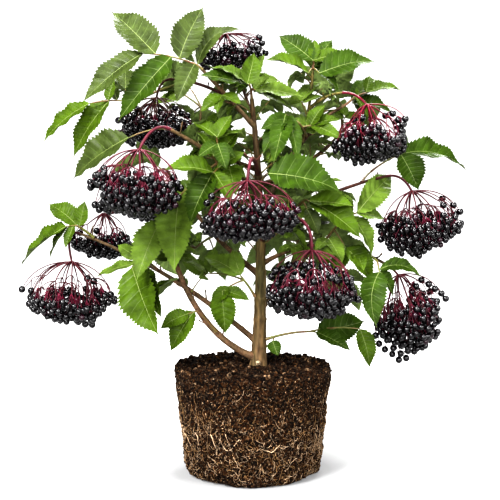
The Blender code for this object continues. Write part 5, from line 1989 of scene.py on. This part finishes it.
class LeafLooks(PropertyGroup):
    """Sizes and colours of the leaves."""

    mid: colour_value("Mid green", "Colour of most leaves", (0.0202, 0.034, 0.0027))
    deep: colour_value("Deep green", "Colour of the oldest leaves", (0.0115, 0.0215, 0.002))
    fresh: colour_value("Fresh green", "Colour of young leaves", (0.034, 0.052, 0.0085))
    grey: colour_value("Grey green", "Colour of the dull leaves", (0.0175, 0.0245, 0.006))
    # Partly the leaves' own paler underside and partly painted light: it is lightened to lift the shade on
    # undersides that face the camera inside the crown
    underside: colour_value("Underside", "Colour of the undersides", (0.07, 0.095, 0.032))
    rib: colour_value("Midribs", "Colour of the midribs", (0.0624, 0.078, 0.0234))
    vein: colour_value("Veins", "Colour of the side veins", (0.0265, 0.0415, 0.0065))
    stem: colour_value("Stems", "Colour of the green stems", (0.0468, 0.0494, 0.0094))
    fullness: FloatProperty(name="Fullness", default=1.0, min=0, max=1,
                            description="Number of small inner leaves, as a share of the usual")
    inner_leaf: range_value("Inner leaf", "Least and most millimetres of an inner blade", (24, 38), min=5)
    teeth: IntProperty(name="Teeth", description="Teeth on each side of a usual leaflet", default=18, min=4)
    veins: IntProperty(name="Veins", description="Side veins on each side of a leaflet", default=9, min=2)
    tooth: FloatProperty(name="Tooth", default=0.17, min=0, max=0.5,
                         description="How far a tooth stands out, as a share of half the width")
    slender: FloatProperty(name="Width", description="A leaflet's width, as a share of the solid's",
                           default=0.95, min=0.4, max=1.2)
    sweep: FloatProperty(name="Sweep", description="How far the side veins lean to the tip", default=0.3,
                         min=0, max=0.6)
    bulge: FloatProperty(name="Bulge", description="Millimetres that the blade rises between its veins",
                         default=1.9, min=0, max=3)
    wave: FloatProperty(name="Wave", description="Millimetres that the edge waves", default=1.3, min=0,
                        max=5)
    fold: range_value("Fold", "Least and most fold along the midrib", (0.3, 0.55), min=0, max=1)


class FruitLooks(PropertyGroup):
    """Sizes and colours of the fruit."""

    ripe: colour_value("Ripe", "Colour of ripe berries", (0.0008, 0.0005, 0.0008))
    plum: colour_value("Plum", "Colour of nearly ripe berries", (0.006, 0.0011, 0.0028))
    unripe: colour_value("Unripe", "Colour of the few red berries", (0.03, 0.003, 0.006))
    berry: FloatProperty(name="Berry", description="Diameter of a berry in millimetres", default=7.2, min=3,
                         max=12)
    spacing: FloatProperty(name="Spacing", description="Least distance between berries, in diameters",
                           default=0.94, min=0.6, max=2)


class StageLooks(PropertyGroup):
    """The floor, the lights and the camera."""

    floor: colour_value("Floor", "Colour of the floor", (0.12, 0.12, 0.12))
    # Painted light: the floor's own glow under the plant, which grows to full strength away from it
    floor_glow: FloatProperty(name="Floor glow", description="Strength of the lit table under the plant",
                              default=0.12, min=0)
    overhead: FloatProperty(name="Overhead", description="Strength of the surround overhead", default=0.3,
                            min=0)
    key: power_value("Key", "Power of the key light", 180.0)
    key_size: FloatProperty(name="Key size", description="Width of the key light", default=0.7, min=0.1,
                            unit="LENGTH")
    fill: power_value("Fill", "Power of the fill light", 62.0)
    top: power_value("Top", "Power of the light overhead", 50.0)
    front: power_value("Front", "Power of the soft light in front", 100.0)
    back: power_value("Back", "Power of the back light", 90.0)
    exposure: FloatProperty(name="Exposure", description="Exposure in stops", default=0.1, min=-4, max=4)
    eye: place_value("Eye", "Where the camera stands", (-0.003, -1.2, 0.334))
    aim: place_value("Aim", "Where the camera looks", (-0.003, 0.0, 0.246))
    half_view: FloatProperty(name="Half view", description="Half the view's width at a distance of 1",
                             default=0.2286, min=0.05, max=2)


class ELDER_OT_root_ball(Operator):
    """Makes the root ball: its soil, its crumbs and its net of roots."""

    bl_idname = "elder.root_ball"
    bl_label = "Root ball"

    def execute(self, context):
        make_root_ball(context.scene.elder_ball)
        return {"FINISHED"}


class ELDER_OT_bark(Operator):
    """Makes the bark of the trunk and of each bough."""

    bl_idname = "elder.bark"
    bl_label = "Bark"

    def execute(self, context):
        make_bark(context.scene.elder_bark)
        return {"FINISHED"}


class ELDER_OT_leaves(Operator):
    """Makes the leafy shoots."""

    bl_idname = "elder.leaves"
    bl_label = "Leaves"

    def execute(self, context):
        make_leaves(context.scene.elder_leaves)
        return {"FINISHED"}


class ELDER_OT_fruit(Operator):
    """Makes the fruit heads: berries and their stalks."""

    bl_idname = "elder.fruit"
    bl_label = "Fruit"

    def execute(self, context):
        make_fruit(context.scene.elder_fruit)
        return {"FINISHED"}


class ELDER_OT_stage(Operator):
    """Makes the floor, the lights and the camera."""

    bl_idname = "elder.stage"
    bl_label = "Stage"

    def execute(self, context):
        make_stage(context.scene.elder_stage)
        return {"FINISHED"}


class ELDER_PT_panel(Panel):
    """Lists the shrub's pieces in the sidebar."""

    bl_idname = "ELDER_PT_panel"
    bl_label = "Elderberry"
    bl_space_type = "VIEW_3D"
    bl_region_type = "UI"
    bl_category = "Elderberry"

    def draw(self, context):
        for operator, group in zip(OPERATORS, LOOKS):
            box = self.layout.box()
            box.operator(operator.bl_idname)
            looks = getattr(context.scene, group)
            for name in looks.__annotations__:
                box.prop(looks, name)


LOOKS = {"elder_ball": BallLooks, "elder_bark": BarkLooks, "elder_leaves": LeafLooks,
         "elder_fruit": FruitLooks, "elder_stage": StageLooks}
OPERATORS = (ELDER_OT_root_ball, ELDER_OT_bark, ELDER_OT_leaves, ELDER_OT_fruit, ELDER_OT_stage)
CLASSES = (*LOOKS.values(), *OPERATORS, ELDER_PT_panel)


def register():
    for kind in CLASSES:
        bpy.utils.register_class(kind)
    for name, kind in LOOKS.items():
        setattr(bpy.types.Scene, name, PointerProperty(type=kind))


def unregister():
    for name in LOOKS:
        delattr(bpy.types.Scene, name)
    for kind in reversed(CLASSES):
        bpy.utils.unregister_class(kind)


def main():
    register()
    bpy.ops.elder.root_ball()
    bpy.ops.elder.bark()
    bpy.ops.elder.leaves()
    bpy.ops.elder.fruit()
    bpy.ops.elder.stage()


if __name__ == "__main__":
    main()
